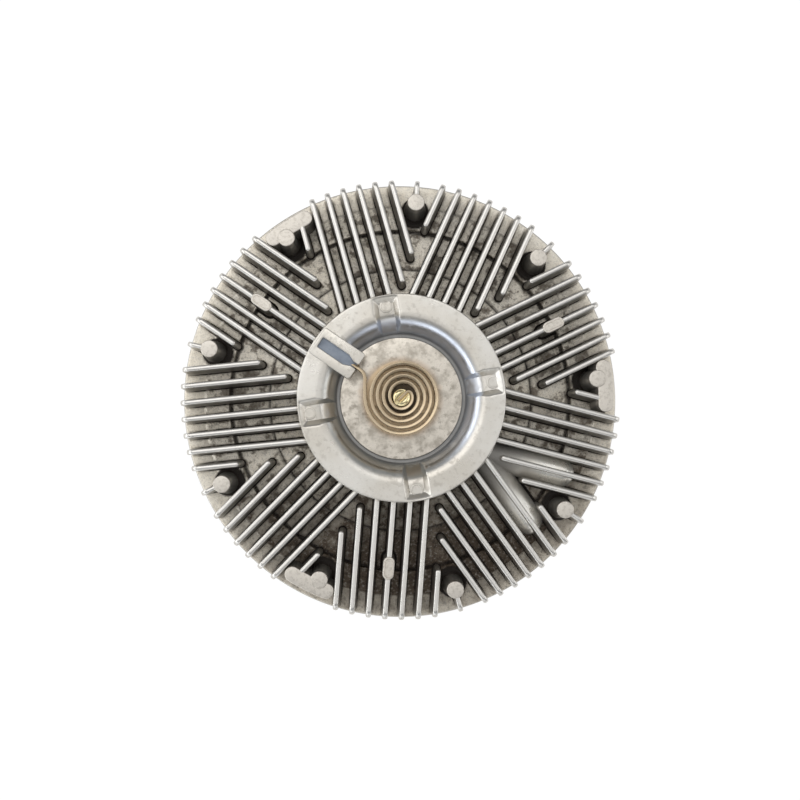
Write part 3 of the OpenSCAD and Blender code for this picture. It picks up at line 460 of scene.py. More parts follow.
ringSet = {  # corners are radius, height and rounding
    "foot": [(52.2, 69.0, 0), (52.2, 72.3, 0), (50.75, 72.5, 1.1), (49.8, 96.0, 0.9), (48.6, 96.0, 0)],
    "top": 96.0, "lipCentre": (41.2, 88.4), "lipRound": 7.6, "wallFoot": (32.2, 86.6),
    "topRows": [48.3, 48.0, 47.7, 47.4, 47.1, 46.8, 46.4, 46.0, 45.4, 44.7, 43.9, 43.2, 42.4, 41.8],
    "inside": [(31.95, 86.0, 0), (31.4, 84.7, 0.9), (29.7, 84.7, 0.4), (29.6, 85.5, 0.25), (4.05, 85.5, 0.25),
               (4.05, 71.4, 0), (9, 71.4, 0), (9, 80.7, 0), (41.2, 80.7, 0), (41.2, 90.5, 0), (45.8, 90.5, 0),
               (45.8, 69.0, 0)],
    "underBlock": {"half": 6.2, "end": 47.8, "above": 90.6, "height": 94.0},
}
ringNotch = {
    "first": 9.7, "count": 4, "halfWidth": 3.6, "floor": 93.5, "fall": 1.1, "padEnd": 39.2, "roll": 4.0,
    "outerEnd": 46.2, "outerSlope": 0.95, "sideSlope": 1.0, "innerSteeper": 1.3, "innerPart": (35.5, 42.0),
    "softEdge": 0.16, "edgeLift": 0.05, "reach": (31.5, 49.3), "above": 85.3, "lineReach": 8.5,
    "blendReach": 13.5, "blendIn": (30.0, 33.0), "blendOut": (49.2, 52.0), "middle": 44.0,
    "fineTo": 8.0, "fineStep": 0.4, "coarseTo": 13.4, "coarseStep": 0.75, "plainColumns": 54,
}


def ringProfile():  # up the ring's outside, over its top, round the lip, down the wall and back inside
    g = ringSet
    top = np.stack([g["topRows"], np.full(len(g["topRows"]), g["top"])], -1)
    reach = np.subtract(g["lipCentre"], g["wallFoot"])
    turn = math.atan2(reach[1], reach[0]) + math.asin(g["lipRound"] / math.hypot(*reach))  # wall touches lip
    a = np.pi / 2 + np.linspace(0, turn, 24)
    lip = np.array(g["lipCentre"]) + g["lipRound"] * np.stack([np.cos(a), np.sin(a)], -1)
    wall = np.linspace(lip[-1], g["wallFoot"], 7)[1:]
    return np.concatenate([filletLine(g["foot"])[:-1], top, lip, wall, filletLine(g["inside"])[1:]])


def coverRing():  # ring, recess and the hollow behind, with four troughs across the ring
    n, hide = ringNotch, ringSet["underBlock"]
    profile = ringProfile()
    r, z = profile[:, :1], profile[:, 1:]
    # columns: radial lines, and by each notch lines parallel to its middle that fan back out to radial
    side = np.concatenate([np.arange(0, n["fineTo"], n["fineStep"]),
                           np.arange(n["fineTo"], n["coarseTo"], n["coarseStep"])])
    side = np.concatenate([-side[:0:-1], side])
    edge = np.degrees(np.arcsin(side[-1] / n["middle"]))
    apart = 360.0 / n["count"]
    plain = np.linspace(edge, apart - edge, n["plainColumns"])[1:-1]
    lateral = np.tile(np.concatenate([side, np.zeros(len(plain))]), n["count"])
    inNotch = np.tile(np.concatenate([np.ones(len(side)), np.zeros(len(plain))]), n["count"])
    rest = np.concatenate([np.degrees(np.arcsin(side / n["middle"])), plain])
    start = np.repeat(n["first"] + apart * np.arange(n["count"]), len(rest))
    share = inNotch * (1 - smooth(np.abs(lateral), n["lineReach"], n["blendReach"]))
    share = share * smooth(r, *n["blendIn"]) * (1 - smooth(r, *n["blendOut"]))
    parallel = np.degrees(np.arcsin(np.clip(lateral / r, -0.99, 0.99)))
    angle = np.radians(start + (1 - share) * np.tile(rest, n["count"]) + share * parallel)
    # notch: the lower of the ring's own height and a trough whose sides slope and whose floor falls inwards
    steep = n["sideSlope"] + n["innerSteeper"] * (1 - smooth(r, *n["innerPart"]))
    past = np.maximum(np.abs(lateral) - n["halfWidth"], 0)
    rise = np.maximum(past * steep, (r - n["outerEnd"]) * n["outerSlope"])
    inward = n["padEnd"] - r
    fall = n["fall"] * 0.5 * (inward + np.sqrt(inward * inward + n["roll"]))
    trough = n["floor"] - fall + np.maximum(rise, 0)
    gap = z - trough
    low = trough + 0.5 * (gap - np.sqrt(gap * gap + n["softEdge"])) + n["edgeLift"]
    onRing = (r > n["reach"][0]) & (r < n["reach"][1]) & (z > n["above"])
    height = np.where(onRing & (inNotch > 0), np.minimum(z, low), z + 0 * angle)
    # below the anchor block's slot the ring stays under the compound
    turn = angle - math.radians(anchorSet["angle"])
    hidden = (np.abs(r * np.sin(turn)) < hide["half"]) & (np.cos(turn) > 0)
    hidden = hidden & (r < hide["end"]) & (z > hide["above"])
    height = np.where(hidden, np.minimum(height, hide["height"]), height)
    points = np.stack([r * np.cos(angle), r * np.sin(angle), height], -1)
    coverPiece("coverRing", points, gridFaces(len(profile), angle.shape[1], True, True), castFront)


finSet = {"sectors": 9, "sectorAngle": 40.0, "perSector": 7, "bossAngle": 5.7, "pitch": 7.95, "width": 2.6,
          "draft": 0.9, "top": 91.0, "tipRadius": 106.6, "tipRound": 4.0, "foot": 0.45, "landEnd": 98.9,
          "ringEnd": 48.8, "shortStart": 83.6, "sixthStart": 55.5, "lastStart": 69.5, "freeEnds": (0, 5, 6),
          "freeRound": 0.4}
finShape = {"sunk": 0.6, "crown": 0.8, "draftHeight": 18, "footFade": (0.5, 7.0), "lead": 0.5,
            "tipPlaces": [1, 0.85, 0.68, 0.5, 0.33, 0.16, 0], "footPlaces": [0, 0.1, 0.25, 0.45, 0.7, 1.0]}


def sectorAngles(step=1):  # angle of every boss, or of each one after so many
    return finSet["bossAngle"] + finSet["sectorAngle"] * np.arange(0, finSet["sectors"], step)


def finLayout():  # for each fin its sector's angle, sideways place, and start and end along its own line
    f = finSet
    sector, k = np.meshgrid(np.arange(f["sectors"]), np.arange(f["perSector"]), indexing="ij")
    sector, k = sector.ravel(), k.ravel()
    side = ((f["perSector"] - 1) / 2 - k) * f["pitch"]
    starts = [f["shortStart"], f["sixthStart"], f["lastStart"]]
    startR = np.select([k == n for n in f["freeEnds"]], starts, f["ringEnd"])
    meetsLand = (k == 0) & ((sector + 1) % landSet["every"] == 0)
    endR = np.where(meetsLand, f["landEnd"], f["tipRadius"])
    free = np.where(np.isin(k, f["freeEnds"]), f["width"] / 2 + f["freeRound"], 0)  # the rounded end's length
    angle = f["bossAngle"] + f["sectorAngle"] * (sector + 0.5)
    return angle, side, np.sqrt(startR ** 2 - side ** 2) + free, np.sqrt(endR ** 2 - side ** 2)


def finShells(angle, side, x0, x1, width, draft, top, tipRound, foot, floorAt, sign=1.0):
    # walls on straight lines: each closed shell has a flared foot, drafted sides, a rounded top and a tip
    # whose top follows a quarter circle down; everything is one array of fin, level, place
    f = finShape
    half = width[:, None] / 2
    inner = x0[:, None] + (x1 - tipRound - f["lead"] - x0)[:, None] * np.linspace(0, 1, 12)
    last = x1[:, None] - half - (tipRound - half) * np.array(f["tipPlaces"])
    spineX = np.concatenate([inner, last], 1)
    spine = np.stack([spineX, np.broadcast_to(side[:, None], spineX.shape)], -1)
    base, out = walkRound(spine, 11)
    flare = foot * smooth(x1[:, None] - base[..., 0], *f["footFade"])
    ground = floorAt(np.hypot(base[..., 0], base[..., 1]))
    rise = half * f["crown"]  # the top is flatter than a half circle
    spring = top - rise
    none = 0 * half + 0 * flare
    rows = [(none, ground - f["sunk"]), (half + draft / 2 + flare, ground - f["sunk"])]
    for h in f["footPlaces"]:  # height up the foot's hollow curve
        drafted = half + draft / 2 * (1 - h * foot / f["draftHeight"])
        rows.append((drafted + flare * (1 - np.sqrt(1 - (1 - h) ** 2)), ground + h * foot))
    rows.append((half + draft / 4, (ground + spring) / 2))
    rows += [(half * np.cos(v), spring + rise * np.sin(v)) for v in np.radians([0, 18, 36, 54, 72])]
    rows.append((none, top + 0 * half))
    radius = np.stack([np.broadcast_to(k, ground.shape) for k, _ in rows], 1)
    z = np.stack([np.broadcast_to(k, ground.shape) for _, k in rows], 1)
    flat = base[:, None] + radius[..., None] * out[:, None]
    short = np.clip(tipRound - (x1[:, None, None] - flat[..., 0]), 0, tipRound)
    drop = tipRound - np.sqrt(tipRound ** 2 - short ** 2)
    low = ground[:, None] + foot
    share = np.clip((z - low) / (top - low), 0, 1)
    z = (z - drop * share) * sign
    points = turned(np.concatenate([flat, z[..., None]], -1), angle)
    one = gridFaces(len(rows), base.shape[1], wrapCols=True)
    return points, copiesOf(one, len(angle), len(rows) * base.shape[1])


def coolingFins():
    f = finSet
    angle, side, x0, x1 = finLayout()
    points, faces = finShells(angle, side, x0, x1, np.full(len(angle), f["width"]), f["draft"], f["top"],
                              f["tipRound"], f["foot"], floorHeight)
    coverPiece("coolingFins", points, faces, castFront, groove=1.0)


padField = {"grooveDepth": 0.5, "innerArc": 65.4, "innerArcEdge": (0.2, 0.75), "outerArc": 84.4,
            "outerArcEdge": (0.3, 0.95), "arcShare": 0.8, "columns": 900, "start": 50.2, "end": 106.9,
            "step": 0.75, "endHalo": 1.9, "bossHalo": 7.3, "bossShift": 1.6, "ringHalo": 51.4,
            "footEdge": (-0.2, 0.55), "rimFrom": (97.0, 98.5), "rimFootEdge": (-0.6, 0.4),
            "rimRows": [(107.1, 72.0), (107.55, 71.87), (107.87, 71.55), (108.0, 71.1), (108.0, 66.4),
                        (107.6, 66.0), (84.0, 66.0), (84.0, 67.4), (50.2, 67.4)]}


def segmentGap(p, a, b):  # distance from each point to one straight line's nearest place
    t = np.clip(((p - a) @ (b - a)) / ((b - a) @ (b - a)), 0, 1)
    return np.linalg.norm(p - a - t[:, None] * (b - a), axis=1)


def clearOfFeet(spots):  # distance from each spot of the floor to the nearest foot of a fin, boss or the ring
    g, f = padField, finSet
    angle, side, x0, x1 = finLayout()
    firsts, lasts = [turned(np.stack([x, side, 0 * x], -1), angle)[:, :2] for x in (x0, x1)]
    clear = np.full(len(spots), np.inf)
    half = (f["width"] + f["draft"]) / 2
    for k, (first, last) in enumerate(zip(firsts, lasts)):
        clear = np.minimum(clear, segmentGap(spots, first, last) - half)
        if k % f["perSector"] in f["freeEnds"]:  # free inner ends stand in a wider hollow
            clear = np.minimum(clear, np.linalg.norm(spots - first, axis=1) - g["endHalo"])
    for at in np.radians(sectorAngles()):
        boss = np.array([math.cos(at), math.sin(at)]) * (bossSet["radius"] - g["bossShift"])
        clear = np.minimum(clear, np.linalg.norm(spots - boss, axis=1) - g["bossHalo"])
    return np.minimum(clear, np.linalg.norm(spots, axis=1) - g["ringHalo"])


def coverFloor():  # ring-shaped floor; shallow grooves round every foot and along two arcs leave pads
    g = padField
    r = np.arange(g["start"], g["end"], g["step"])
    rows = np.concatenate([np.stack([r, floorHeight(r)], -1), g["rimRows"]])
    a = np.linspace(0, 2 * np.pi, g["columns"], endpoint=False)[None]
    flat = np.stack([rows[:, :1] * np.cos(a), rows[:, :1] * np.sin(a)], -1)
    spots = flat[:len(r)].reshape(-1, 2)
    radius, clear = np.linalg.norm(spots, axis=1), clearOfFeet(spots)
    footPad = smooth(clear, *g["footEdge"])
    footPad = np.maximum(footPad, smooth(radius, *g["rimFrom"]) * smooth(clear, *g["rimFootEdge"]))
    arcPad = smooth(np.abs(radius - g["innerArc"]), *g["innerArcEdge"])
    arcPad = arcPad * smooth(np.abs(radius - g["outerArc"]), *g["outerArcEdge"])
    z = np.broadcast_to(rows[:, 1:], flat.shape[:2]).copy()
    z[:len(r)] -= g["grooveDepth"] * (1 - np.minimum(footPad, arcPad).reshape(len(r), -1))
    points = np.concatenate([flat, z[..., None]], -1)
    groove = np.maximum(1 - footPad, g["arcShare"] * (1 - arcPad))
    faces = gridFaces(len(rows), a.shape[1], True, True)
    coverPiece("coverFloor", points, faces, castFront, sharp=60, groove=groove)


bossSet = {"radius": 95.2, "top": 91.6, "topHalf": 4.1, "footHalf": 5.2, "flare": 1.3, "edge": 0.45,
           "ribStart": 96.0, "ribWidth": 2.3, "ribDraft": 0.9, "ribFoot": 0.9}


def screwBosses():  # drafted round bosses
    b = bossSet
    levels = footLevels(b["footHalf"], floorZones["band"], b["flare"])
    levels += edgeLevels(b["topHalf"], b["top"], b["edge"])
    shells = repeatRound(*stack(*walkCircle(44), levels), sectorAngles(), b["radius"])
    coverPiece("screwBosses", *shells, castLand, groove=1.0)


def bossRibs():  # short fins from each boss to the rim, apart from those on a rim land
    b, f = bossSet, finSet
    at = sectorAngles()
    at = at[np.arange(len(at)) % landSet["every"] != 0]
    ones = np.ones(len(at))
    points, faces = finShells(at, 0 * ones, b["ribStart"] * ones, f["tipRadius"] * ones, b["ribWidth"] * ones,
                              b["ribDraft"], f["top"], f["tipRound"], b["ribFoot"], floorHeight)
    coverPiece("bossRibs", points, faces, castFront, groove=1.0)


landSet = {"every": 3, "inner": 95.2, "outer": 102.6, "lead": -7.4, "trail": 3.0, "top": 90.9, "edge": 0.5,
           "ground": 72.4, "draft": 0.5, "flare": 0.9}


def rimLands():  # arcs along the rim with round ends
    g = landSet
    half, mid = (g["outer"] - g["inner"]) / 2, (g["outer"] + g["inner"]) / 2
    a = np.radians(np.linspace(g["lead"], g["trail"], 22))
    base, out = walkRound(np.stack([mid * np.cos(a), mid * np.sin(a)], -1), 13)
    levels = footLevels(half + g["draft"], g["ground"], g["flare"]) + edgeLevels(half, g["top"], g["edge"])
    shells = repeatRound(*stack(base, out, levels), sectorAngles(g["every"]))
    coverPiece("rimLands", *shells, castLand, groove=1.0)


padSet = {"every": 3, "radius": 81.6, "length": 11.0, "width": 5.4, "top": 91.5, "edge": 0.4, "dish": 0.28,
          "dishRim": 0.95, "dishSlope": 0.2, "draft": 0.35, "flare": 1.0}


def finPads():  # oval pads with a shallow dish in the top, each in the middle of a sector
    g = padSet
    half, reach = g["width"] / 2, (g["length"] - g["width"]) / 2
    base, out = walkRound(np.stack([g["radius"] + np.linspace(-reach, reach, 6), np.zeros(6)], -1), 13)
    levels = footLevels(half + g["draft"], floorZones["sunk"], g["flare"])
    levels += edgeLevels(half, g["top"], g["edge"])
    dished = half - g["dishRim"]
    levels += [(dished, g["top"]), (dished - g["dishSlope"], g["top"] - g["dish"])]
    at = sectorAngles(g["every"]) + finSet["sectorAngle"] / 2
    coverPiece("finPads", *repeatRound(*stack(base, out, levels), at), castLand, groove=1.0)


ridgeSet = {"width": 15.0, "top": 86.5, "endRadius": 93.0, "places": ((345.7, -15.9), (305.7, 15.9)),
            "ground": 71.6, "draft": 0.4, "flare": 1.6}


def returnRidges():  # half-round ridges over the return passages, with round ends
    g = ridgeSet
    half = g["width"] / 2
    a = np.radians([*np.linspace(0, 80, 17), 83, 86, 88, 89.5])
    levels = footLevels(half + g["draft"], g["ground"], g["flare"])
    levels += [(half * math.cos(v), g["top"] - half + half * math.sin(v)) for v in a]
    blocks = []
    for angle, side in g["places"]:
        end = math.sqrt(g["endRadius"] ** 2 - side ** 2) - half
        begin = math.sqrt(finSet["ringEnd"] ** 2 - side ** 2)
        base, out = walkRound(np.stack([np.linspace(begin, end, 14), np.full(14, side)], -1), 17)
        one, faces = stack(base, out, levels)
        blocks.append(turned(one, angle))
    faces = copiesOf(faces, len(blocks), one.shape[0] * one.shape[1])
    coverPiece("returnRidges", np.stack(blocks), faces, castRidgeLit, groove=1.0)


anchorSet = {"angle": 145.7, "end": 25.4, "back": 48.7, "half": 7.2, "round": 1.5, "backRound": 0.8,
             "top": 96.8, "bottom": 83.9, "edge": 0.45, "slotHalf": 2.65, "slotEnd": 46.8, "slotRound": 0.5,
             "shoulder": 31.9, "shoulderRound": 1.2, "neck": 28.4, "neckHalf": 1.2, "neckRound": 0.8,
             "mouthRound": 0.7}


def offsetLine(line, distance):  # a closed line moved to its left, each point midway between its two sides
    step = np.roll(line, -1, 0) - line
    step = step / np.linalg.norm(step, axis=1, keepdims=True)
    normal = np.stack([-step[:, 1], step[:, 0]], -1)
    both = normal + np.roll(normal, 1, 0)
    both = both / (both * both).sum(1, keepdims=True) * 2
    return line + distance * both


def anchorBlock():  # U-shaped block with a bottle-shaped slot, its top edges rounded by moving the outline in
    g = anchorSet
    upper = [(g["back"], g["half"], g["backRound"]), (g["end"], g["half"], g["round"]),
             (g["end"], g["neckHalf"], g["mouthRound"]), (g["neck"], g["neckHalf"], g["neckRound"]),
             (g["shoulder"], g["slotHalf"], g["shoulderRound"]),
             (g["slotEnd"], g["slotHalf"], g["slotRound"])]
    lower = [(x, -y, rounding) for x, y, rounding in upper[::-1]]
    corners = [lower[-2], lower[-1], *upper, *lower[:-2]]
    outline = filletLine(corners, True, 7)
    levels = [(0.0, g["bottom"])]
    for v in np.radians(np.linspace(0, 90, 5)):
        levels.append((g["edge"] * (1 - math.cos(v)), g["top"] - g["edge"] * (1 - math.sin(v))))
    flat = np.stack([offsetLine(outline, d) for d, _ in levels])
    z = np.broadcast_to(np.array([v for _, v in levels])[:, None, None], flat.shape[:2] + (1,))
    points = turned(np.concatenate([flat, z], -1), g["angle"])
    rows, cols = flat.shape[:2]
    faces = gridFaces(rows, cols, wrapCols=True)
    coverPiece("anchorBlock", points, faces, castFront, sharp=30, caps=endCaps(rows, cols))


markSet = {"radius": 44.5, "half": 3.1, "height": 93.75, "low": 92.8, "edge": 0.25, "rim": 0.7, "slope": 0.2,
           "dish": 0.18}


def notchMarks():  # round ejector marks, a raised rim round a flat middle
    g = markSet
    inner = g["half"] - g["rim"]
    levels = [(g["half"], g["low"]), *edgeLevels(g["half"], g["height"], g["edge"], 4), (inner, g["height"]),
              (inner - g["slope"], g["height"] - g["dish"])]
    at = ringNotch["first"] + 360.0 / ringNotch["count"] * np.arange(ringNotch["count"])
    coverPiece("notchMarks", *repeatRound(*stack(*walkCircle(36), levels), at, g["radius"]), castFront)


coverRing()
coverFloor()
coolingFins()
screwBosses()
bossRibs()
rimLands()
finPads()
returnRidges()
anchorBlock()
notchMarks()
print("front cover made")


# Bimetal coil and its anchor

coilSet = {"slotAngle": 45.0, "startRadius": 5.1, "offset": 0.65, "pitch": 2.95, "halfTurns": 9,
           "leadIn": 14.0, "lastSwing": 45.0, "thick": 1.6, "low": 87.2, "high": 94.7, "edge": 0.3,
           "slant": 0.55, "tabStart": -2.0, "tabGap": 0.9, "bend": 5.0, "gripEnd": 35.4, "step": 0.6,
           "turnsWith": (0.03, 0.9)}


def coilPath():  # tab, half circles whose centres alternate on the slot's line, straight, bend, straight
    g = coilSet
    a = math.radians(g["slotAngle"])
    line = np.array([math.cos(a), math.sin(a)])
    runs = [np.linspace(g["tabStart"], g["startRadius"] - g["tabGap"], 10)[:, None] * line]
    for n in range(g["halfTurns"] + 1):
        begin = g["leadIn"] if n == 0 else 0.0
        end = 180.0 if n < g["halfTurns"] else g["lastSwing"]
        t = np.radians(-180.0 * n - np.linspace(begin, end, 60)) + a
        centre = line * (g["offset"] + g["pitch"] / 4 * (-1 if n % 2 == 0 else 1))
        radius = g["startRadius"] - g["offset"] + (n + 0.5) * g["pitch"] / 2
        runs.append(centre + radius * np.stack([np.cos(t), np.sin(t)], -1))
    leave = runs[-1][-1]
    slot = math.radians(anchorSet["angle"])
    turn = slot - math.pi / 2
    bendEndX = leave[0] - g["bend"] * (1 - math.cos(turn))
    bendY = bendEndX * math.tan(slot) - g["bend"] * math.sin(turn)
    t = np.linspace(0, turn, 16)
    runs.append(np.stack([leave[0] - g["bend"] + g["bend"] * np.cos(t), bendY + g["bend"] * np.sin(t)], -1))
    runs.append(np.array([[math.cos(slot), math.sin(slot)]]) * g["gripEnd"])
    path = np.concatenate(runs)
    path = path[np.concatenate([[True], np.linalg.norm(np.diff(path, axis=0), axis=1) > 1e-4])]
    length = np.concatenate([[0], np.cumsum(np.linalg.norm(np.diff(path, axis=0), axis=1))])
    even = np.linspace(0, length[-1], int(length[-1] / g["step"]) + 1)
    path = np.stack([np.interp(even, length, path[:, k]) for k in range(2)], -1)
    for _ in range(2):  # rounds the corner between tab and spiral
        path[1:-1] = 0.25 * path[:-2] + 0.5 * path[1:-1] + 0.25 * path[2:]
    return path, even / length[-1]


def bimetalCoil():  # a flat strip on edge, its section carried along the path; the top edge slants inwards
    g = coilSet
    path, share = coilPath()
    along = np.gradient(path, axis=0)
    along = along / np.linalg.norm(along, axis=1, keepdims=True)
    left = np.stack([-along[:, 1], along[:, 0]], -1)
    h, e = g["thick"] / 2, g["edge"]
    section = filletLine([(-h, g["low"], e), (h, g["low"], e), (h, g["high"], e),
                          (-h, g["high"] - g["slant"], e)], True, 4)
    flat = path[:, None] + left[:, None] * section[None, :, :1]
    z = np.broadcast_to(section[None, :, 1:], flat.shape[:2] + (1,))
    rows, cols = flat.shape[:2]
    coil = makePiece("bimetalStripCoil", np.concatenate([flat, z], -1), gridFaces(rows, cols, wrapCols=True),
                     None, "bimetal", strip, ["bimetal_coil"], caps=endCaps(rows, cols))
    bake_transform(coil)
    # a share for each point, 1 at the tab falling to 0 from the tail on, and each point's nearest place on
    # the path; nothing uses them further
    follow = 1 - smooth(share, *g["turnsWith"])
    place = np.zeros(len(coil.data.vertices) * 3, np.float32)
    coil.data.vertices.foreach_get("co", place)
    nearest = np.linalg.norm(place.reshape(-1, 3)[:, None, :2] / mm - path[None], axis=2).argmin(1)


fillSet = {"top": 94.85, "bottom": 87.0, "rise": 0.3, "riseLength": 1.4, "start": 26.4, "mouthEnd": 30.0,
           "mouthDrop": 0.9, "gap": 0.03, "neckBlend": 0.3}


def slotFill():  # compound in the anchor slot, its surface drawn up a little along the walls
    g, s = fillSet, anchorSet
    along = np.concatenate([np.linspace(g["start"], s["neck"], 5)[:-1],
                            np.linspace(s["neck"], s["shoulder"], 10)[:-1],
                            np.linspace(s["shoulder"], s["slotEnd"] - g["gap"], 22)])
    widening = smooth(along, s["neck"] - g["neckBlend"], s["shoulder"] + g["neckBlend"])
    wide = s["neckHalf"] + (s["slotHalf"] - s["neckHalf"]) * widening - g["gap"]
    v = np.linspace(-1, 1, 15)
    ends = smooth(s["slotEnd"] - along, 0, g["riseLength"])[:, None]
    mouth = (1 - smooth(along, g["start"], g["mouthEnd"]))[:, None]
    upper = g["top"] + g["rise"] * np.maximum(np.abs(v) ** 5, 1 - ends) - g["mouthDrop"] * mouth
    topSide = np.stack([np.broadcast_to(along[:, None], upper.shape), wide[:, None] * v, upper], -1)
    lower = topSide[:, ::-1].copy()
    lower[..., 2] = g["bottom"]
    ring = np.concatenate([topSide, lower], 1)
    rows, cols = ring.shape[:2]
    makePiece("slotFill", turned(ring, s["angle"]), gridFaces(rows, cols, wrapCols=True), "housing", "bond",
              bondFill, ["coil_bond"], sharp=50, caps=endCaps(rows, cols))


headSet = {"half": 4.04, "slotHalf": 0.8, "centreShare": 0.55, "reach": 1.7,
           "dome": [(0, 93.0), (0, 94.4), (0.1, 94.7), (0.3, 95.0), (0.6, 95.28), (0.95, 95.5), (1.3, 95.75)]}


def shaftHead():  # two halves of a domed head, parted by the slot that holds the coil's tab
    g = headSet
    edge = math.asin(g["slotHalf"] / g["half"])
    a = np.linspace(edge, math.pi - edge, 40)
    line = g["half"] * np.stack([np.cos(a), np.sin(a)], -1)
    line = np.concatenate([line, np.linspace(line[-1], line[0], 14)[1:-1]])
    centre = np.array([0, g["slotHalf"] + g["centreShare"] * (g["half"] - g["slotHalf"])])
    flat = np.stack([line + (centre - line) * (d / g["reach"]) for d, _ in g["dome"]])
    z = np.broadcast_to(np.array([v for _, v in g["dome"]])[:, None, None], flat.shape[:2] + (1,))
    rows, cols = flat.shape[:2]
    points, faces = repeatRound(np.concatenate([flat, z], -1), gridFaces(rows, cols, wrapCols=True),
                                coilSet["slotAngle"] + np.array([0.0, 180.0]))
    caps = [[k + n for k in run] for n in (0, rows * cols) for run in endCaps(rows, cols)]
    makePiece("shaftHead", points, faces, "valve", "valve_yellow", valveGold, sharp=50, caps=caps)


bimetalCoil()
slotFill()
shaftHead()
print("coil and anchor made")


# Rear side

rearSet = {  # corners are radius, height and rounding
    "profile": [(26, 26, 0.6), (40, 26, 1.0), (40, 48, 2.2), (83, 48, 1.6), (88, 53, 1.6), (88, 60, 1.6),
                (108, 60, 0.8), (108, 66, 0.35), (84, 66, 0), (84, 53, 0), (31.05, 53, 0), (31.05, 33, 0),
                (26, 33, 0)],
    "wall": 48.0, "fins": 36, "finStart": 45.5, "finEnd": 81.0, "finWidth": 2.6, "finHeight": 10.0,
    "finDraft": 0.9, "finTip": 3.0, "finFoot": 1.2, "bosses": 6, "bossRadius": 75.0, "bossHalf": 9.0,
    "bossDraft": 0.5, "bossFlare": 1.4, "bossEdge": 0.6, "bossFace": 34.0, "holeHalf": 3.4, "holeDepth": 15.0,
    "chamfer": 0.7,
}


def rearBody():  # the rear casting's wall, hub and rim as one turned profile
    rearPiece("rearBody", *revolve(filletLine(rearSet["profile"], True)))


def rearFins():  # radial fins, made upwards and mirrored down
    g = rearSet
    at = np.arange(g["fins"]) * 360.0 / g["fins"]
    at = at[at % (360 // g["bosses"]) != 0]  # the others run into the fan bosses
    ones = np.ones(len(at))
    rearPiece("rearFins", *finShells(at, 0 * ones, g["finStart"] * ones, g["finEnd"] * ones,
                                     g["finWidth"] * ones, g["finDraft"], g["finHeight"] - g["wall"],
                                     g["finTip"], g["finFoot"], lambda r: 0 * r - g["wall"], -1.0))


def fanBosses():  # bosses for the fan, each with a chamfered blind hole
    g = rearSet
    levels = footLevels(g["bossHalf"] + g["bossDraft"], -g["wall"], g["bossFlare"])
    levels += edgeLevels(g["bossHalf"], -g["bossFace"], g["bossEdge"])
    down = [(r, -z) for r, z in levels]
    down += [(g["holeHalf"] + g["chamfer"], g["bossFace"]), (g["holeHalf"], g["bossFace"] + g["chamfer"]),
             (g["holeHalf"], g["bossFace"] + g["holeDepth"])]
    at = 360.0 / g["bosses"] * np.arange(g["bosses"])
    rearPiece("fanBosses", *repeatRound(*stack(*walkCircle(48), down), at, g["bossRadius"]))


def hexRadius(angle, flats):  # distance from the middle to a hexagon's side
    return flats / 2 / np.cos(np.mod(angle, np.pi / 3) - np.pi / 6)


screwSet = {"flats": 8.0, "under": 60.0, "head": 4.5, "hexTop": 3.2, "shankHalf": 2.5, "shankEnd": 74.0,
            "rows": [(0, 0.25), (3.0, 0.25), (3.3, 0), (3.75, 0), (4.7, 0.55), (4.7, 2.9), (4.3, 3.2),
                     (4.9, 3.35), (5.0, 3.5), (5.0, 4.5)]}  # radius, and height above the head's end


def coverScrews():  # hexagon heads with a washer face: turned levels cut down to the hexagon
    g = screwSet
    a = np.linspace(0, 2 * np.pi, 48, endpoint=False)[None]
    base = g["under"] - g["head"]
    rows = np.array([*[(r, base + z) for r, z in g["rows"]], (g["shankHalf"], g["under"]),
                     (g["shankHalf"], g["shankEnd"]), (0, g["shankEnd"])])
    hexRow = (rows[:, 1] <= base + g["hexTop"])[:, None]
    r = np.where(hexRow, np.minimum(rows[:, :1], hexRadius(a, g["flats"])), rows[:, :1])
    one = np.stack([r * np.cos(a), r * np.sin(a), rows[:, 1:] + 0 * a], -1)
    faces = gridFaces(len(rows), a.shape[1], wrapCols=True)
    makePiece("coverScrewHeads", *repeatRound(one, faces, sectorAngles(), bossSet["radius"]), "housing",
              "screw_zinc", zinc, ["cover_screws"], sharp=28)


shaftSet = {"flats": 41.0, "nutLength": 24.0, "chamfer": 1.58, "faceStep": 0.15, "sideRows": (1.9, 6),
            "bore": 15.2, "boreEnd": 21.0, "boreRows": 127, "mouth": 1.6, "endHalf": 12.0, "endStep": 0.6,
            "threadPitch": 1.5, "threadDepth": 0.85, "threadEnd": 18.5, "runOut": 1.2,
            "seats": [(19.5, 24, 0), (17, 24, 0.6), (17, 31, 0.8), (18.98, 31, 0.3), (18.98, 33, 0),
                      (14.99, 33, 0), (14.99, 49, 0), (12.99, 49, 0), (12.99, 60.3, 0), (13.75, 60.3, 0),
                      (12.25, 61.8, 0), (0, 61.8, 0)]}


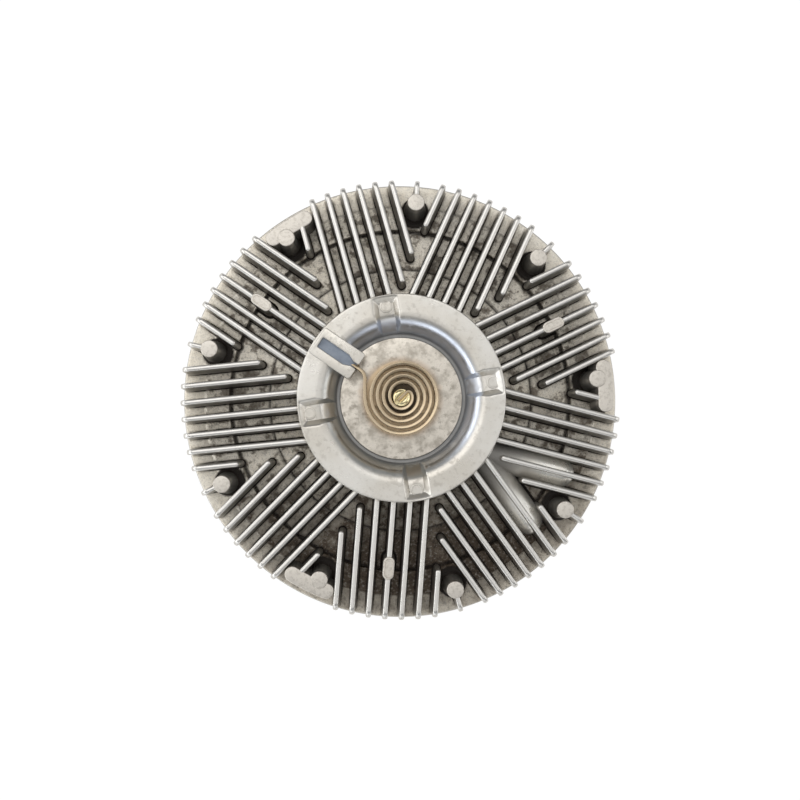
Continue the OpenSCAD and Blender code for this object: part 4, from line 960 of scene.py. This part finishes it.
def driveShaft():  # hexagon nut with chamfered corners, turned neck and seats, and a screw thread in the bore
    g = shaftSet
    a = np.linspace(0, 2 * np.pi, 120, endpoint=False)[None]
    flat, corner = g["flats"] / 2, g["flats"] / 2 / math.cos(math.pi / 6)
    slope = np.linspace(0, g["chamfer"], 7)
    inset, count = g["sideRows"]
    nutZ = np.concatenate([slope, np.linspace(inset, g["nutLength"] - inset, count),
                           g["nutLength"] - slope[::-1]])
    fromEnd = np.minimum(nutZ, g["nutLength"] - nutZ)[:, None]
    cone = flat - g["faceStep"] + fromEnd * (corner - flat + g["faceStep"]) / g["chamfer"]
    nut = np.minimum(hexRadius(a, g["flats"]), cone)
    seats = filletLine(g["seats"])
    boreZ = np.linspace(g["boreEnd"], 0, g["boreRows"])[:, None]
    wave = np.abs(np.mod(boreZ / g["threadPitch"] + a / (2 * np.pi), 1.0) * 2 - 1)
    cut = g["threadDepth"] * wave * (1 - smooth(boreZ, g["threadEnd"] - g["runOut"], g["threadEnd"]))
    bore = np.maximum(g["bore"] + cut, g["bore"] + g["mouth"] - boreZ)
    bottom = np.array([(0.0, g["boreEnd"] + g["endStep"]), (g["endHalf"], g["boreEnd"] + g["endStep"])])
    r = np.concatenate([bottom[:, :1] + 0 * a, bore, nut, seats[:, :1] + 0 * a])
    z = np.concatenate([k + 0 * a for k in (bottom[:, 1:], boreZ, nutZ[:, None], seats[:, 1:])])
    points = np.stack([r * np.cos(a), r * np.sin(a), z], -1)
    makePiece("driveShaftNut", points, gridFaces(len(r), a.shape[1], wrapCols=True), "drive", "shaft_steel",
              turnedSteel, ["drive_shaft"], sharp=26)


rearBody()
rearFins()
fanBosses()
coverScrews()
driveShaft()
print("rear side made")


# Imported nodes, with a finish for each

nodeFinish = {
    "front_cover": castFront, "rear_housing": castBack, "cover_screws": zinc, "cover_seal": sealRubber,
    "drive_shaft": turnedSteel, "rotor": rotorAlloy, "bearing_outer_race": groundSteel,
    "bearing_inner_race": groundSteel, "bearing_balls": groundSteel, "bearing_cage": cageBrass,
    "bearing_seal_front": sealRubber, "bearing_seal_rear": sealRubber, "valve_plate": rolledSteel,
    "valve_plate_rivets": zinc, "valve_arm": rolledSteel, "valve_shaft": valveGold,
    "valve_shaft_oring": sealRubber, "bimetal_coil": strip, "coil_bond": bondFill, "pump_wiper": wiperPlastic,
}
for name, finish in nodeFinish.items():
    cadNode[name].data.materials.clear()
    cadNode[name].data.materials.append(finish)
print("packed nodes finished")


# Floor, light and camera

stageSet = {"half": 12.0, "height": -0.0002, "paper": tint(250, 250, 249), "camera": 0.9, "glow": 1.05,
            "white": (1, 1, 1, 1), "sky": (0.95, 0.975, 1.0, 1.0), "skyLevel": 0.31}


def stageFloor():  # pale floor; seen by the camera it is nearly white and keeps a soft shadow
    g = stageSet
    w, z = g["half"], g["height"]
    mesh = bpy.data.meshes.new("floor")
    mesh.from_pydata([(-w, -w, z), (w, -w, z), (w, w, z), (-w, w, z)], [], [(0, 1, 2, 3)])
    s = NodeSheet("paperFloor")
    s.finish(BaseColor=g["paper"], Roughness=0.9)
    glow = s.add("ShaderNodeEmission", None, {"Color": g["white"], "Strength": g["glow"]})
    rays = ("Is Camera Ray", "Is Glossy Ray", "Is Transmission Ray")
    straight, mirrored, through = [s.add("ShaderNodeLightPath", out=k) for k in rays]
    seen = s.limit(straight + mirrored + through) * g["camera"]
    both = s.add("ShaderNodeMixShader", None, {0: seen, 1: Wire(s, s.shader.outputs[0]), 2: glow})
    s.tree.links.new(both.socket, s.tree.nodes["Material Output"].inputs["Surface"])
    mesh.materials.append(s.material)
    floor = bpy.data.objects.new("floor", mesh)
    bpy.context.scene.collection.objects.link(floor)


lampSet = {  # place, aim, width and height in metres, power in watts, colour
    "topPanel": ((0, 0.22, 1.35), (0, 0, 0.06), (2.8, 1.7), 11.0, (1.0, 0.995, 0.985)),
    "keyLamp": ((-0.32, 0.5, 1.15), (0, 0, 0.06), (1.0, 0.8), 2.5, (1.0, 0.99, 0.975)),
    "leftPanel": ((-1.05, 0.12, 0.45), (0, 0, 0.08), (1.35, 0.5), 4.6, (0.97, 0.985, 1.0)),
    "lowLeftPanel": ((-0.74, -0.74, 0.42), (0, 0, 0.08), (1.1, 0.42), 2.6, (0.94, 0.97, 1.0)),
    "lowPanel": ((0.1, -1.05, 0.5), (0, 0, 0.08), (1.2, 0.5), 1.7, (0.97, 0.985, 1.0)),
    "rightPanel": ((1.05, 0.0, 0.45), (0, 0, 0.08), (0.9, 0.5), 2.2, (1.0, 1.0, 1.0)),
}


def studioLamps():
    for name, (spot, aim, size, power, colour) in lampSet.items():
        lamp = bpy.data.lights.new(name, "AREA")
        lamp.shape = "RECTANGLE"
        lamp.size, lamp.size_y = size
        lamp.energy, lamp.color = power, colour
        item = bpy.data.objects.new(name, lamp)
        item.location = spot
        item.rotation_euler = (Vector(aim) - Vector(spot)).to_track_quat("-Z", "Y").to_euler()
        bpy.context.scene.collection.objects.link(item)


def studioSky():  # a dim sky lights the object; seen straight by the camera it is white
    world = bpy.data.worlds.new("studio")
    world.use_nodes = True
    nodes, links = world.node_tree.nodes, world.node_tree.links
    sky = nodes["Background"]
    white, path, both = [nodes.new("ShaderNode" + kind) for kind in ("Background", "LightPath", "MixShader")]
    sky.inputs["Color"].default_value = stageSet["sky"]
    sky.inputs["Strength"].default_value = stageSet["skyLevel"]
    white.inputs["Color"].default_value = stageSet["white"]
    links.new(path.outputs["Is Camera Ray"], both.inputs[0])
    links.new(sky.outputs[0], both.inputs[1])
    links.new(white.outputs[0], both.inputs[2])
    links.new(both.outputs[0], nodes["World Output"].inputs["Surface"])
    bpy.context.scene.world = world


viewSet = {"place": (-9.16, -20.25, 555.4), "aim": (-0.31, -0.23, 72.0), "lens": 43.54, "sensor": 36.0,
           "clip": (0.01, 20.0)}


def photoCamera():  # looks down the shaft, a little from the lower left, with +Y up in the picture
    g = viewSet
    eye, aim = Vector(g["place"]) * mm, Vector(g["aim"]) * mm
    ahead = (aim - eye).normalized()
    right = ahead.cross(Vector((0, 1, 0))).normalized()
    up = right.cross(ahead)
    data = bpy.data.cameras.new("photoCamera")
    data.lens, data.sensor_width = g["lens"], g["sensor"]
    data.clip_start, data.clip_end = g["clip"]
    camera = bpy.data.objects.new("photoCamera", data)
    camera.matrix_world = Matrix([(*row, p) for row, p in zip(zip(right, up, -ahead), eye)] + [(0, 0, 0, 1)])
    bpy.context.scene.collection.objects.link(camera)
    bpy.context.scene.camera = camera


stageFloor()
studioLamps()
studioSky()
photoCamera()
bpy.context.scene.view_settings.view_transform = "Standard"
print("stage made")
